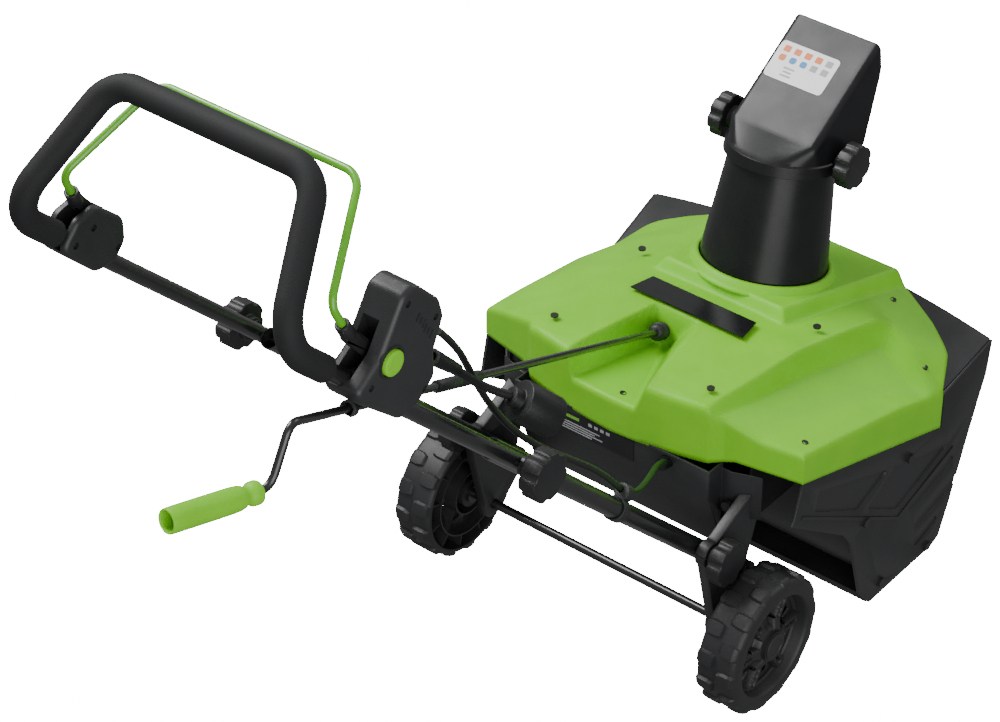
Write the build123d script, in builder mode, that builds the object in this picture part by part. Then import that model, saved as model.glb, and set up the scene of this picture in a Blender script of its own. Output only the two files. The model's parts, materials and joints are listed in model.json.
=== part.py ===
from build123d import *
from math import asin, atan, cos, degrees, pi, radians, sin, tan
import os

os.makedirs("parts", exist_ok=True)

# Millimetres. +X operator's right, +Y the throwing direction, +Z up, origin on the ground under the scraper.

# Housing
half_width = 265.0
toe_in = 0.06
front_y = 201.0
wall = 3.0
panel_t = 4.0
gap = 0.3
bolt_r = 3.0
panel_x = half_width - toe_in * front_y
panel_plane = Plane(origin=(panel_x, 0, 0), x_dir=(toe_in, 1, 0), z_dir=(1, -toe_in, 0))
panel_rear_y = -185.0
panel_rear_z = 288.0
panel_step_y = 103.0
panel_step_z = 209.0
visor_z = 262.0
visor_slope = 0.3125
visor_crown = 30.0

# Auger
auger_y = 60.0
auger_z = 118.0
scroll_r = 106.0
rotor_r = 95.0
shaft_r = 8.0
plate_left_x = -214.0
plate_right_x = 244.0
bearing_r = 20.0
running = 0.05
scroll_end_deg = 110.0
scroll_front_y = 186.0

# Chute
chute_at = Vector(0, 72, 375)
chute_lean = 11.66
chute_dir = Vector(0, sin(radians(chute_lean)), cos(radians(chute_lean)))
cone_r = 81.4
cone_mid_r = 69.0
cone_top_r = 66.0
cone_mid_s = 120.0
cone_top_s = 150.0
neck_r = 63.0
neck_top_s = -7.0
collar_r = 92.0
collar_h = 8.0
crown_teeth = 60
pinion_teeth = 12
crown_r = 92.0
crown_face = 10.0
crown_s = -42.9
pinion_r = crown_r * pinion_teeth / crown_teeth
tooth_w = 3.0
tooth_h = 2.0
tilt_y = 111.0
tilt_z = 528.0

# Cranks
joint_at = Vector(-24, -110, 350)
crank_end = Vector(204.6, -1018.9, 867.0)
crank_r = 4.5
crank_dir = (crank_end - joint_at).normalized()
arm_dir = Vector(0.010, -0.488, -0.873).normalized()
arm_len = 65.0
stub_dir = Vector(-0.154, -0.966, 0.207).normalized()
grip_from = 14.0
grip_to = 122.0

# Motor and belt
motor_y = -130.0
motor_z = 265.0
motor_r = 45.0
motor_in_x = -80.0
motor_pulley_r = 18.0
auger_pulley_r = 68.0
pulley_x = -224.0
pulley_w = 10.0
belt_t = 5.0

# Wheels
axle_y = -255.0
wheel_r = 93.0
tread_r = 88.8
axle_r = 6.0
wheel_in_x = 207.7
wheel_out_x = 264.3
dish_r = 68.0
lug_count = 18

# Handle
lower_x = 155.5
upper_x = 180.0
lower_r = 12.5
upper_r = 9.5
tube_wall = 1.5
line_sum = -70.0
fold_y = -652.0
foot_y = -184.0
clamp_y = -285.0
stub_y = -205.0
knob_bolt_r = 4.0
knob_r = 29.0
mid_knob_x = (194.0, 226.0)
low_knob_x = (187.0, 215.0)
hood_knob_x = (76.0, 104.0)
bar_y = -1000.0
bar_top = Vector(131, -889, 1045)
grip_r = 14.5
bracket_x = (171.0, 186.0)

# Controls
bail_y = -878.0
bail_z = 856.0
bail_r = 4.5
bail_socket = Vector(upper_x, -908, 893)
bail_shoulder = Vector(176, -927, 936)
bail_top = Vector(130.4, -829, 1012.5)
bail_sweep = 18.0
lever_w = 8.0
pod_x = (162.0, 200.0)
box_x = (160.0, 207.0)
button_r = 14.0
button_x = (197.0, 212.0)
button_travel = 5.0
pin_r = 3.0

# Cords
lead_r = 4.0
supply_r = 4.75
relief_at = Vector(170, -775, 786)
plug_at = Vector(195.2, -682.5, 694.8)
plug_dir = Vector(0.45, 0.62, -0.64).normalized()
plug_r = 23.0
plug_len = 59.0


def on_tube(y):
    """Height of the handle tubes' straight line at a distance along Y."""
    return line_sum - y


def keep(piece, name):
    piece.part.label = name
    export_step(piece.part, f"parts/{name}.step")


def mirrored(piece):
    with BuildPart() as twin:
        mirror(piece.part, about=Plane.YZ)
    return twin


def rod(start, end, radius, bore=0.0):
    run = Vector(*end) - Vector(*start)
    with BuildPart() as piece:
        with BuildSketch(Plane(origin=start, z_dir=run)):
            Circle(radius)
            if bore > 0:
                Circle(bore, mode=Mode.SUBTRACT)
        extrude(amount=run.length)
    return piece.part


def across(x0, x1, y, z, radius, bore=0.0):
    return rod((x0, y, z), (x1, y, z), radius, bore)


def slab(points, x0, x1):
    """A plate with its outline in (Y, Z), between two X positions."""
    with BuildPart() as piece:
        with BuildSketch(Plane.YZ.offset(x0)):
            with BuildLine():
                Polyline(*points, close=True)
            make_face()
        extrude(amount=x1 - x0)
    return piece.part


def radii_for(points, limit):
    """Bend radii that leave a straight between one bend and the next."""
    values = []
    for before, here, after in zip(points, points[1:], points[2:]):
        a = Vector(*here) - Vector(*before)
        b = Vector(*after) - Vector(*here)
        half_turn = radians(a.get_angle(b)) / 2
        values.append(min(limit, 0.45 * min(a.length, b.length) / tan(half_turn)))
    return values


def swept(points, radii, radius, bore=0.0):
    with BuildPart() as piece:
        with BuildLine() as path:
            FilletPolyline(*points, radius=radii)
        with BuildSketch(Plane(origin=path.line @ 0, z_dir=path.line % 0)):
            Circle(radius)
            if bore > 0:
                Circle(bore, mode=Mode.SUBTRACT)
        sweep(path=path.line)
    return piece.part


def cord(points, radius, limit):
    radii = radii_for(points, limit)
    print("cord bends, mm:", [round(value, 1) for value in radii])
    return swept(points, radii, radius)


def gear_plane(s):
    return Plane(origin=chute_at + chute_dir * s, x_dir=(1, 0, 0), z_dir=chute_dir)


def knob(x0, x1, y, z):
    """A lobed hand knob with a blind bore for its bolt."""
    lobes = 7
    with BuildPart() as piece:
        with BuildSketch(Plane.YZ.offset(x0)):
            with Locations((y, z)):
                Circle(knob_r * 0.5)
        extrude(amount=x1 - x0)
        with BuildSketch(Plane.YZ.offset(x0 + (x1 - x0) * 0.3)):
            with Locations((y, z)):
                Circle(knob_r)
            with Locations((y, z)):
                with PolarLocations(knob_r + 4, lobes):
                    Circle(7, mode=Mode.SUBTRACT)
        extrude(amount=(x1 - x0) * 0.7)
        with BuildSketch(Plane.YZ.offset(x0)):
            with Locations((y, z)):
                Circle(knob_bolt_r + running)
        extrude(amount=(x1 - x0) * 0.8, mode=Mode.SUBTRACT)
    return piece


# Housing: scroll, end plates, side panels

arc_end = (
    auger_y + scroll_r * cos(radians(scroll_end_deg)),
    auger_z + scroll_r * sin(radians(scroll_end_deg)),
)
arc_out = (
    auger_y + (scroll_r + wall) * cos(radians(scroll_end_deg)),
    auger_z + (scroll_r + wall) * sin(radians(scroll_end_deg)),
)
lip_slope = tan(radians(scroll_end_deg - 90))
lip_in = (scroll_front_y, arc_end[1] + (scroll_front_y - arc_end[0]) * lip_slope)
lip_out = (scroll_front_y, arc_out[1] + (scroll_front_y - arc_out[0]) * lip_slope)
scraper_half = 25.0
scraper_t = 6.0
foot_z = scraper_t + wall
start_deg = -degrees(asin((auger_z - 14) / scroll_r))
scroll_low = (
    auger_y - scroll_r * cos(radians(start_deg)),
    auger_z + scroll_r * sin(radians(start_deg)),
)
scroll_low_out = (
    auger_y - (scroll_r + wall) * cos(radians(start_deg)),
    auger_z + (scroll_r + wall) * sin(radians(start_deg)),
)
plates_in = (plate_left_x + wall, plate_right_x - wall)

with BuildPart() as auger_housing:
    with BuildSketch(Plane.YZ.offset(plates_in[0])):
        with BuildLine():
            ThreePointArc(scroll_low, (auger_y - scroll_r, auger_z), arc_end)
            Line(arc_end, lip_in)
            Line(lip_in, lip_out)
            Line(lip_out, arc_out)
            ThreePointArc(arc_out, (auger_y - scroll_r - wall, auger_z), scroll_low_out)
            Line(scroll_low_out, scroll_low)
        make_face()
        with Locations((0, scraper_t + wall / 2)):
            Rectangle(2 * scraper_half, wall)
        with BuildLine():
            Polyline(
                (scraper_half - 8, scraper_t + wall / 2),
                (scraper_half, scraper_t + wall / 2),
                (scraper_half + 8, scroll_low[1] + 1),
                (scraper_half + 2, scroll_low[1] + 3),
                close=True,
            )
        make_face()
    extrude(amount=plates_in[1] - plates_in[0])
    with BuildSketch(gear_plane(-165)):
        Circle(neck_r)
    extrude(amount=165 + neck_top_s)
    with BuildSketch(gear_plane(-200)):
        Circle(neck_r - wall)
    extrude(amount=200 + neck_top_s, mode=Mode.SUBTRACT)
    with BuildSketch(Plane.YZ.offset(plates_in[0])):
        with Locations((auger_y, auger_z)):
            Circle(scroll_r - 1)
    extrude(amount=plates_in[1] - plates_in[0], mode=Mode.SUBTRACT)
keep(auger_housing, "auger_housing")

front_edge = [(182, 206), (165, 152), (152, 111), (140, 70), (123, 22), (106, 13)]


def end_plate(x, extra):
    with BuildPart() as plate:
        with BuildSketch(Plane.YZ.offset(x)):
            with Locations((auger_y, auger_z)):
                Circle(scroll_r + wall)
            with BuildLine():
                Polyline(arc_out, lip_out, *[(y - wall, z) for y, z in front_edge], (auger_y, 12), close=True)
            make_face()
            if extra:
                with BuildLine():
                    Polyline(*extra, close=True)
                make_face()
            with Locations((auger_y, auger_z)):
                Circle(bearing_r, mode=Mode.SUBTRACT)
            if extra:
                with Locations((motor_y, motor_z)):
                    Circle(motor_pulley_r + 1, mode=Mode.SUBTRACT)
        extrude(amount=wall)
    return plate


motor_side = [(-30, 118), (-90, 170), (-150, 200), (-180, 235), (-180, 300), (-80, 312), (30, 222)]
end_plate_left = end_plate(plate_left_x, motor_side)
end_plate_right = end_plate(plate_right_x - wall, None)
with BuildPart() as end_plates:
    add(end_plate_left.part)
    add(end_plate_right.part)
keep(end_plates, "end_plates")

panel_outline = [
    (front_y, 292),
    (195, 243),
    (182, 206),
    (165, 152),
    (152, 111),
    (140, 70),
    (123, 22),
    (106, 12),
    (78, 10),
    (25, 5),
    (-23, 0),
    (-48, 31),
    (-75, 129),
    (-90, 151),
    (-152, 196),
    (-202, 233),
    (-197, 240),
    (panel_rear_y, panel_rear_z),
    (panel_step_y, panel_step_z),
    (panel_step_y, visor_z),
]
slots = [((45, 109), (140, 143)), ((55, 69), (163, 105))]
panel_bolt_at = [(37, 199), (-48, 148), (-3, 23), (95, 22)]
slot_w = 13.0
slot_depth = 1.6

with BuildPart() as side_panel_right:
    with BuildSketch(panel_plane):
        with BuildLine():
            Polyline(*panel_outline, close=True)
        make_face()
    extrude(amount=-panel_t)
    for (y0, z0), (y1, z1) in slots:
        run = Vector(y1 - y0, z1 - z0)
        with BuildSketch(panel_plane):
            with Locations(Location((y0 + run.X / 2, z0 + run.Y / 2), degrees(atan(run.Y / run.X)))):
                SlotOverall(min(run.length, 94), slot_w)
        extrude(amount=-slot_depth, mode=Mode.SUBTRACT)
    with BuildSketch(panel_plane):
        with Locations(*panel_bolt_at):
            Circle(bolt_r)
    extrude(amount=-panel_t, mode=Mode.SUBTRACT)
keep(side_panel_right, "side_panel_right")
side_panel_left = mirrored(side_panel_right)
keep(side_panel_left, "side_panel_left")

with BuildPart() as panel_bolts:
    with BuildSketch(panel_plane):
        with Locations(*panel_bolt_at):
            RegularPolygon(6.5, 6)
    extrude(amount=4)
    with BuildSketch(panel_plane):
        with Locations(*panel_bolt_at):
            Circle(bolt_r)
    extrude(amount=-7)
    add(end_plates.part, mode=Mode.SUBTRACT)
    mirror(about=Plane.YZ)

with BuildPart() as scraper_bar:
    with BuildSketch(Plane.XY):
        Rectangle(500, 2 * scraper_half)
        with Locations((-180, 0), (-60, 0), (60, 0), (180, 0)):
            Circle(bolt_r, mode=Mode.SUBTRACT)
    extrude(amount=scraper_t)
    with BuildSketch(Plane.XY):
        with Locations((-180, 0), (-60, 0), (60, 0), (180, 0)):
            Circle(2 * bolt_r)
    extrude(amount=2.5, mode=Mode.SUBTRACT)
    # the ends follow the toe-in of the side panels
    with BuildSketch(panel_plane.offset(-panel_t)):
        Rectangle(400, 40)
    extrude(amount=60, mode=Mode.SUBTRACT)
    with BuildSketch(Plane(origin=(-panel_x, 0, 0), x_dir=(toe_in, -1, 0), z_dir=(-1, -toe_in, 0)).offset(-panel_t)):
        Rectangle(400, 40)
    extrude(amount=60, mode=Mode.SUBTRACT)
keep(scraper_bar, "scraper_bar")

with BuildPart() as scraper_bolts:
    with BuildSketch(Plane.XY.offset(0.4)):
        with Locations((-180, 0), (-60, 0), (60, 0), (180, 0)):
            Circle(2 * bolt_r)
    extrude(amount=2.1)
    with BuildSketch(Plane.XY.offset(2.5)):
        with Locations((-180, 0), (-60, 0), (60, 0), (180, 0)):
            Circle(bolt_r)
    extrude(amount=scraper_t - 2.5)


# Front strip and green top cover

def crown_solid(drop, low):
    """The crowned, sloping front surface as a solid reaching down by low, its top dropped by drop."""
    run = Vector(0, -1, -visor_slope).normalized()
    z_side = 292 - drop
    with BuildPart() as piece:
        with BuildSketch(Plane(origin=(0, front_y, 0), x_dir=(1, 0, 0), z_dir=(0, -1, 0))):
            with BuildLine():
                ThreePointArc((-half_width, z_side), (0, z_side + visor_crown), (half_width, z_side))
                Line((half_width, z_side), (half_width, z_side - low))
                ThreePointArc(
                    (half_width, z_side - low), (0, z_side + visor_crown - low), (-half_width, z_side - low)
                )
                Line((-half_width, z_side - low), (-half_width, z_side))
            make_face()
        extrude(amount=130, dir=run)
    return piece.part


def inside_sides(piece, inset):
    """Cuts a solid back to the two slanting side planes."""
    with BuildPart() as cut:
        add(piece)
        split(bisect_by=panel_plane.offset(-inset), keep=Keep.BOTTOM)
        mirror_plane = Plane(origin=(-panel_x, 0, 0), x_dir=(toe_in, -1, 0), z_dir=(-1, -toe_in, 0))
        split(bisect_by=mirror_plane.offset(-inset), keep=Keep.BOTTOM)
    return cut.part


visor_blank = inside_sides(crown_solid(0, panel_t), panel_t)

with BuildPart() as front_visor:
    add(visor_blank)
    with BuildSketch(Plane.XY.offset(200)):
        with Locations((0, 60)):
            Rectangle(600, 80)
    extrude(amount=200, mode=Mode.SUBTRACT)
    with BuildSketch(gear_plane(-200)):
        Circle(neck_r + 3)
    extrude(amount=260, mode=Mode.SUBTRACT)
    add(slab([lip_in, lip_out, arc_out, (arc_out[0], 100), (scroll_front_y, 100)], -half_width, half_width),
        mode=Mode.SUBTRACT)
keep(front_visor, "front_visor")

cover_plan = [
    (0, -248),
    (100, -241),
    (148, -231),
    (161.5, -218),
    (241.5, panel_rear_y),
    (262, 100),
    (232, 150),
    (135, front_y),
]


def cover_volume(inset):
    """The cover's outer shape, or its inside when inset is the wall."""
    plan = cover_plan + [(-x, y) for x, y in reversed(cover_plan[1:])]
    down = 100 if inset > 0 else 0
    with BuildPart() as piece:
        with BuildSketch(Plane.XY.offset(100)):
            with BuildLine():
                Polyline(*plan, close=True)
            make_face()
            if inset > 0:
                offset(amount=-inset, kind=Kind.INTERSECTION)
        extrude(amount=350)
        with BuildSketch(Plane.YZ.offset(-300)):
            with BuildLine():
                Polyline(
                    (-260, 300 - down),
                    (-200, 300 - down),
                    (panel_rear_y, panel_rear_z + gap - down),
                    (panel_step_y, panel_step_z + gap - down),
                    (panel_step_y, visor_z - down),
                    (front_y + 10, 250 - down),
                    (front_y + 10, 322 - inset),
                    (157, 333 - inset),
                    (-5, 366 - inset),
                    (-56, 375 - inset),
                    (-94, 378 - inset),
                    (-205, 383 - inset),
                    (-232, 376 - inset),
                    (-246, 355 - inset),
                    (-260, 330 - inset),
                    close=True,
                )
            make_face()
        extrude(amount=600, mode=Mode.INTERSECT)
        for sign in (1, -1):
            shoulder_in = Vector(sign * 140, -100, 372 - inset)
            shoulder_out = Vector(sign * 244, -100, 312 - inset)
            front_out = Vector(sign * 244, 100, 262 - inset)
            normal = (shoulder_out - shoulder_in).cross(front_out - shoulder_in)
            if normal.Z < 0:
                normal = normal * -1
            split(bisect_by=Plane(origin=shoulder_in, z_dir=normal), keep=Keep.BOTTOM)
    return inside_sides(piece.part, 0.2 + inset)


def channel_volume(grow):
    """The crank's channel, open to the rear and above."""
    floor = 330 - grow
    with BuildPart() as piece:
        with BuildSketch(Plane.XY.offset(floor)):
            with BuildLine():
                Polyline(
                    (-66 - grow, -300),
                    (-66 - grow, -120),
                    (-40, -88 + grow),
                    (-4, -88 + grow),
                    (20 + grow, -120),
                    (44 + grow, -300),
                    close=True,
                )
            make_face()
        extrude(amount=80)
    return piece.part


def pedestal_volume(inset):
    """The raised seat of the chute."""
    with BuildPart() as piece:
        with BuildSketch(Plane.XY.offset(300)):
            with BuildLine():
                Polyline(
                    (-93 + inset, -22 + inset),
                    (93 - inset, -22 + inset),
                    (128 - inset, 197 - inset),
                    (-128 + inset, 197 - inset),
                    close=True,
                )
            make_face()
        extrude(amount=100)
        split(bisect_by=gear_plane(-inset), keep=Keep.BOTTOM)
    return piece.part


outer_cover = cover_volume(0)
inner_cover = cover_volume(wall)
channel_cut = channel_volume(0)
channel_skin = channel_volume(wall)
seat_out = pedestal_volume(0)
seat_in = pedestal_volume(wall)
visor_under = crown_solid(0, 120)

with BuildPart() as cover_inside:
    add(inner_cover)
    add(channel_skin, mode=Mode.SUBTRACT)
    add(seat_in)

with BuildPart() as top_cover:
    add(outer_cover)
    add(channel_cut, mode=Mode.SUBTRACT)
    add(seat_out)
    add(cover_inside.part, mode=Mode.SUBTRACT)
    add(visor_under, mode=Mode.SUBTRACT)
    with BuildSketch(gear_plane(-4)):
        Circle(collar_r)
    extrude(amount=4 + collar_h)
    with BuildSketch(gear_plane(-80)):
        Circle(cone_r + 1)
    extrude(amount=160, mode=Mode.SUBTRACT)
    with BuildSketch(Plane(origin=joint_at, z_dir=(chute_at + chute_dir * -61.3 - joint_at))):
        Circle(11)
    extrude(amount=60, mode=Mode.SUBTRACT)
keep(top_cover, "top_cover")

with BuildPart() as cover_screws:
    with BuildSketch(Plane.XY.offset(384)):
        with Locations((117.4, -205)):
            Circle(5)
    extrude(amount=2)
    with BuildSketch(Plane.XY.offset(368)):
        with Locations((133.4, -5)):
            Circle(5)
    extrude(amount=2)
    mirror(about=Plane.YZ)

with BuildPart() as emblem_plate:
    with BuildSketch(Plane(origin=(0, -75, 378.6), x_dir=(1, 0, 0), z_dir=(0, 0.06, 1))):
        Trapezoid(170, 38, 80)
    extrude(amount=1.6)
keep(emblem_plate, "emblem_plate")


# Rear skirt

def skirt_volume(inset):
    up = 20 if inset > 0 else 0
    bulge_in = 148 - inset
    with BuildPart() as bulge:
        add(slab(
            [
                (-244 + inset, 296 + up),
                (-244 + inset, 255 + inset / 2),
                (-205 + inset, 157 + inset),
                (-52 + up, 157 + inset),
                (-52 + up, 296 + up),
            ],
            -bulge_in,
            bulge_in,
        ))
    with BuildPart() as piece:
        with BuildSketch(Plane.XY.offset(222 - up)):
            with BuildLine():
                Polyline(
                    (-241 - up, panel_rear_y + inset),
                    (-161.5, -218 + inset),
                    (161.5, -218 + inset),
                    (241 + up, panel_rear_y + inset),
                    (241 + up, -175 + up),
                    (-241 - up, -175 + up),
                    close=True,
                )
            make_face()
        extrude(amount=66 + 2 * up)
        add(bulge.part)
    return inside_sides(piece.part, 0.2)


gland_line = rod((85, -256, 284.5), (85, -243, 282), 8)
skirt_out = skirt_volume(0)
skirt_in = skirt_volume(wall)
with BuildPart() as skirt_bolts:
    add(rod((163, -222, 241), (163, -228, 241), 7))
    mirror(about=Plane.YZ)
with BuildPart() as rear_skirt:
    add(skirt_out)
    add(skirt_in, mode=Mode.SUBTRACT)
    add(slab([(-150, 150), (-40, 150), (-40, 320), (-150, 320)], -180, -146), mode=Mode.SUBTRACT)
    add(slab([(-150, 150), (-40, 150), (-40, 320), (-150, 320)], 146, 180), mode=Mode.SUBTRACT)
    add(slab([(-180, 170), (-40, 170), (-40, 320), (-180, 320)], -148, -140), mode=Mode.SUBTRACT)
    add(outer_cover, mode=Mode.SUBTRACT)
    add(gland_line, mode=Mode.SUBTRACT)
    add(skirt_bolts.part, mode=Mode.SUBTRACT)
keep(rear_skirt, "rear_skirt")

with BuildPart() as housing_screws:
    add(panel_bolts.part)
    add(scraper_bolts.part)
    add(cover_screws.part)
    add(skirt_bolts.part)
keep(housing_screws, "housing_screws")

with BuildPart() as rating_label:
    with BuildSketch(Plane(origin=(-23, -244, 273), x_dir=(1, 0, 0), z_dir=(0, -1, 0))):
        RectangleRounded(118, 30, 3)
    extrude(amount=0.6)
keep(rating_label, "rating_label")


# Motor, belt and auger

with BuildPart() as motor_can:
    add(across(plate_left_x + 2 * wall, motor_in_x, motor_y, motor_z, motor_r))
    add(across(plate_left_x + wall, plate_left_x + 2 * wall, motor_y, motor_z, motor_r + 4))
    add(across(plate_left_x, plate_left_x + 2 * wall, motor_y, motor_z, motor_pulley_r + 1), mode=Mode.SUBTRACT)
    add(across(plate_left_x, motor_in_x - 20, motor_y, motor_z, 5 + running), mode=Mode.SUBTRACT)
    fillet(motor_can.edges().filter_by(GeomType.CIRCLE).sort_by(Axis.X)[-1:], 4)
keep(motor_can, "motor_can")

with BuildPart() as motor_shaft:
    add(across(pulley_x - pulley_w / 2 - 3, motor_in_x - 21, motor_y, motor_z, 5))


def pulley(y, z, radius, bore):
    with BuildPart() as piece:
        add(across(pulley_x - pulley_w / 2, pulley_x + pulley_w / 2, y, z, radius, bore))
        add(across(pulley_x - pulley_w / 2 - 1, pulley_x - pulley_w / 2, y, z, radius + 3, bore))
        add(across(pulley_x + pulley_w / 2, pulley_x + pulley_w / 2 + 1, y, z, radius + 3, bore))
    return piece


motor_pulley = pulley(motor_y, motor_z, motor_pulley_r - gap - 3, 5)
with BuildPart() as motor_rotor:
    add(motor_shaft.part)
    add(motor_pulley.part)
keep(motor_rotor, "motor_rotor")
auger_pulley = pulley(auger_y, auger_z, auger_pulley_r - gap, shaft_r)
keep(auger_pulley, "auger_pulley")

with BuildPart() as drive_belt:
    with BuildSketch(Plane.YZ.offset(pulley_x - pulley_w / 2 + 1)):
        with Locations((auger_y, auger_z)):
            Circle(auger_pulley_r + belt_t)
        with Locations((motor_y, motor_z)):
            Circle(motor_pulley_r - 3 + belt_t)
        make_hull()
    extrude(amount=pulley_w - 2)
    with BuildSketch(Plane.YZ.offset(pulley_x - pulley_w / 2)):
        with Locations((auger_y, auger_z)):
            Circle(auger_pulley_r)
        with Locations((motor_y, motor_z)):
            Circle(motor_pulley_r - 3)
        make_hull()
    extrude(amount=pulley_w, mode=Mode.SUBTRACT)
keep(drive_belt, "drive_belt")

with BuildPart() as auger_bearings:
    for x0 in (plate_left_x, plate_right_x - wall - 5):
        add(across(x0, x0 + wall + 5, auger_y, auger_z, bearing_r, shaft_r + running))
keep(auger_bearings, "auger_bearings")

with BuildPart() as auger_shaft:
    add(across(pulley_x - pulley_w / 2 - 8, plate_right_x + 3, auger_y, auger_z, shaft_r))
keep(auger_shaft, "auger_shaft")

rotor_x = (plates_in[0] + 12, plates_in[1] - 12)
rotor_plate = 70.0
with BuildPart() as auger_rotor:
    add(across(rotor_x[0], rotor_x[1], auger_y, auger_z, 14, shaft_r))
    for sign in (1, -1):
        add(slab(
            [
                (auger_y + sign * 12, auger_z - 2),
                (auger_y + sign * 12, auger_z + 2),
                (auger_y + sign * rotor_plate, auger_z + 2),
                (auger_y + sign * rotor_plate, auger_z - 2),
            ],
            rotor_x[0],
            rotor_x[1],
        ))
    for x in (rotor_x[0], -60, 90, rotor_x[1] - wall):
        add(across(x, x + wall, auger_y, auger_z, 46, shaft_r))
keep(auger_rotor, "auger_rotor")

with BuildPart() as auger_paddles:
    for sign in (1, -1):
        add(slab(
            [
                (auger_y + sign * 50, auger_z + sign * 2),
                (auger_y + sign * 50, auger_z + sign * 8),
                (auger_y + sign * (rotor_r - 5), auger_z + sign * 26),
                (auger_y + sign * (rotor_r - 3), auger_z + sign * 20),
                (auger_y + sign * 66, auger_z + sign * 2),
            ],
            rotor_x[0] + 4,
            rotor_x[1] - 4,
        ))
keep(auger_paddles, "auger_paddles")


# Wheels and axle

with BuildPart() as wheel_axle:
    add(across(-wheel_out_x + 6, wheel_out_x - 6, axle_y, wheel_r, axle_r))
    for sign in (1, -1):
        add(across(sign * (wheel_in_x - 4), sign * (wheel_in_x - gap), axle_y, wheel_r, 13))
keep(wheel_axle, "wheel_axle")

wheel_plane = Plane(origin=(0, axle_y, wheel_r), x_dir=(1, 0, 0), z_dir=(0, -1, 0))
wheel_mid = (wheel_in_x + wheel_out_x) / 2
hub_r = 20.0
rim_t = 5.0

with BuildPart() as wheel_right:
    with BuildSketch(wheel_plane):
        with BuildLine():
            Polyline(
                (wheel_in_x, axle_r + running),
                (wheel_in_x, hub_r),
                (wheel_mid - 3, hub_r),
                (wheel_mid - 3, tread_r - rim_t),
                (wheel_in_x, tread_r - rim_t),
                (wheel_in_x, tread_r - 2),
                (wheel_in_x + 2, tread_r),
                (wheel_out_x - 6, tread_r),
                (wheel_out_x, tread_r - 6),
                (wheel_out_x, dish_r),
                (wheel_mid + 6, dish_r - 4),
                (wheel_mid + 1, hub_r + 4),
                (wheel_out_x - 4, hub_r),
                (wheel_out_x - 4, axle_r + running),
                close=True,
            )
        make_face()
    revolve(axis=Axis((0, axle_y, wheel_r), (1, 0, 0)))
    for row in (0, 1):
        row_x = wheel_in_x + 2 if row == 0 else wheel_mid + 1
        for n in range(lug_count):
            turn = -90 + (n + row / 2) * 360 / lug_count
            with BuildSketch(Plane.YZ.offset(row_x)):
                with Locations(Location((axle_y, wheel_r), turn) * Location((tread_r + 1, 0))):
                    Rectangle(2 * (wheel_r - tread_r - 1), 9)
            extrude(amount=wheel_mid - wheel_in_x - 4)
    with BuildSketch(Plane.YZ.offset(wheel_in_x)):
        with Locations((axle_y, wheel_r)):
            with PolarLocations(44, 6, start_angle=30):
                Rectangle(20, 24)
    extrude(amount=wheel_out_x - wheel_in_x, mode=Mode.SUBTRACT)
    # the pressed-in cap closes the hub over the end of the axle
    add(across(wheel_out_x - 5, wheel_out_x, axle_y, wheel_r, hub_r - 2))
keep(wheel_right, "wheel_right")
wheel_left = mirrored(wheel_right)
keep(wheel_left, "wheel_left")

clamp_z = on_tube(clamp_y)
stub_z = on_tube(stub_y)
fold_z = on_tube(fold_y)

with BuildPart() as axle_bracket_right:
    with BuildSketch(Plane.YZ.offset(bracket_x[0])):
        with Locations((axle_y, wheel_r)):
            Circle(19)
        with Locations((clamp_y, clamp_z)):
            Circle(17)
        with Locations((stub_y, stub_z)):
            Circle(15)
        with BuildLine():
            Polyline((-272, 100), (-301, 222), (-272, 232), (-205, 262), (-190, 222), (-236, 90), close=True)
        make_face()
        with BuildLine():
            Polyline((-255, 110), (-200, 149), (-193, 124), (-240, 82), close=True)
        make_face()
        with Locations((axle_y, wheel_r)):
            Circle(axle_r, mode=Mode.SUBTRACT)
        with Locations((clamp_y, clamp_z), (stub_y, stub_z)):
            Circle(knob_bolt_r, mode=Mode.SUBTRACT)
    extrude(amount=bracket_x[1] - bracket_x[0])
    add(skirt_out, mode=Mode.SUBTRACT)
with BuildPart() as axle_brackets:
    add(axle_bracket_right.part)
    mirror(about=Plane.YZ)
keep(axle_brackets, "axle_brackets")

bolt_head_x = lower_x - lower_r - 4
with BuildPart() as bracket_bolts:
    for y, z, end in ((clamp_y, clamp_z, low_knob_x[1] - 8), (stub_y, stub_z, bracket_x[1] + 6)):
        add(across(bolt_head_x, lower_x - lower_r, y, z, 7))
        add(across(lower_x - lower_r, end, y, z, knob_bolt_r))
        add(across(lower_x + lower_r, bracket_x[0], y, z, 9, knob_bolt_r))
    add(across(bracket_x[1], bracket_x[1] + 5, stub_y, stub_z, 7, knob_bolt_r))
    mirror(about=Plane.YZ)

# Handle tubes

tube_top = 14.0
with BuildPart() as lower_tube_right:
    add(rod(
        (lower_x, foot_y, on_tube(foot_y)),
        (lower_x, fold_y - tube_top, on_tube(fold_y - tube_top)),
        lower_r,
        lower_r - tube_wall,
    ))
    for y in (stub_y, clamp_y, fold_y):
        add(across(lower_x - 20, lower_x + 20, y, on_tube(y), knob_bolt_r), mode=Mode.SUBTRACT)
with BuildPart() as lower_tubes:
    add(lower_tube_right.part)
    mirror(about=Plane.YZ)
keep(lower_tubes, "lower_tubes")

upper_in = upper_x - upper_r
upper_out = upper_x + upper_r
with BuildPart() as fold_bolts:
    add(across(bolt_head_x, lower_x - lower_r, fold_y, fold_z, 7))
    add(across(lower_x - lower_r, mid_knob_x[1] - 8, fold_y, fold_z, knob_bolt_r))
    add(across(lower_x + lower_r, upper_in - gap, fold_y, fold_z, 10, knob_bolt_r))
    add(across(upper_out + gap, mid_knob_x[0] - gap, fold_y, fold_z, 12, knob_bolt_r))
    mirror(about=Plane.YZ)
with BuildPart() as handle_bolts:
    add(bracket_bolts.part)
    add(fold_bolts.part)
keep(handle_bolts, "handle_bolts")

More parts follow.
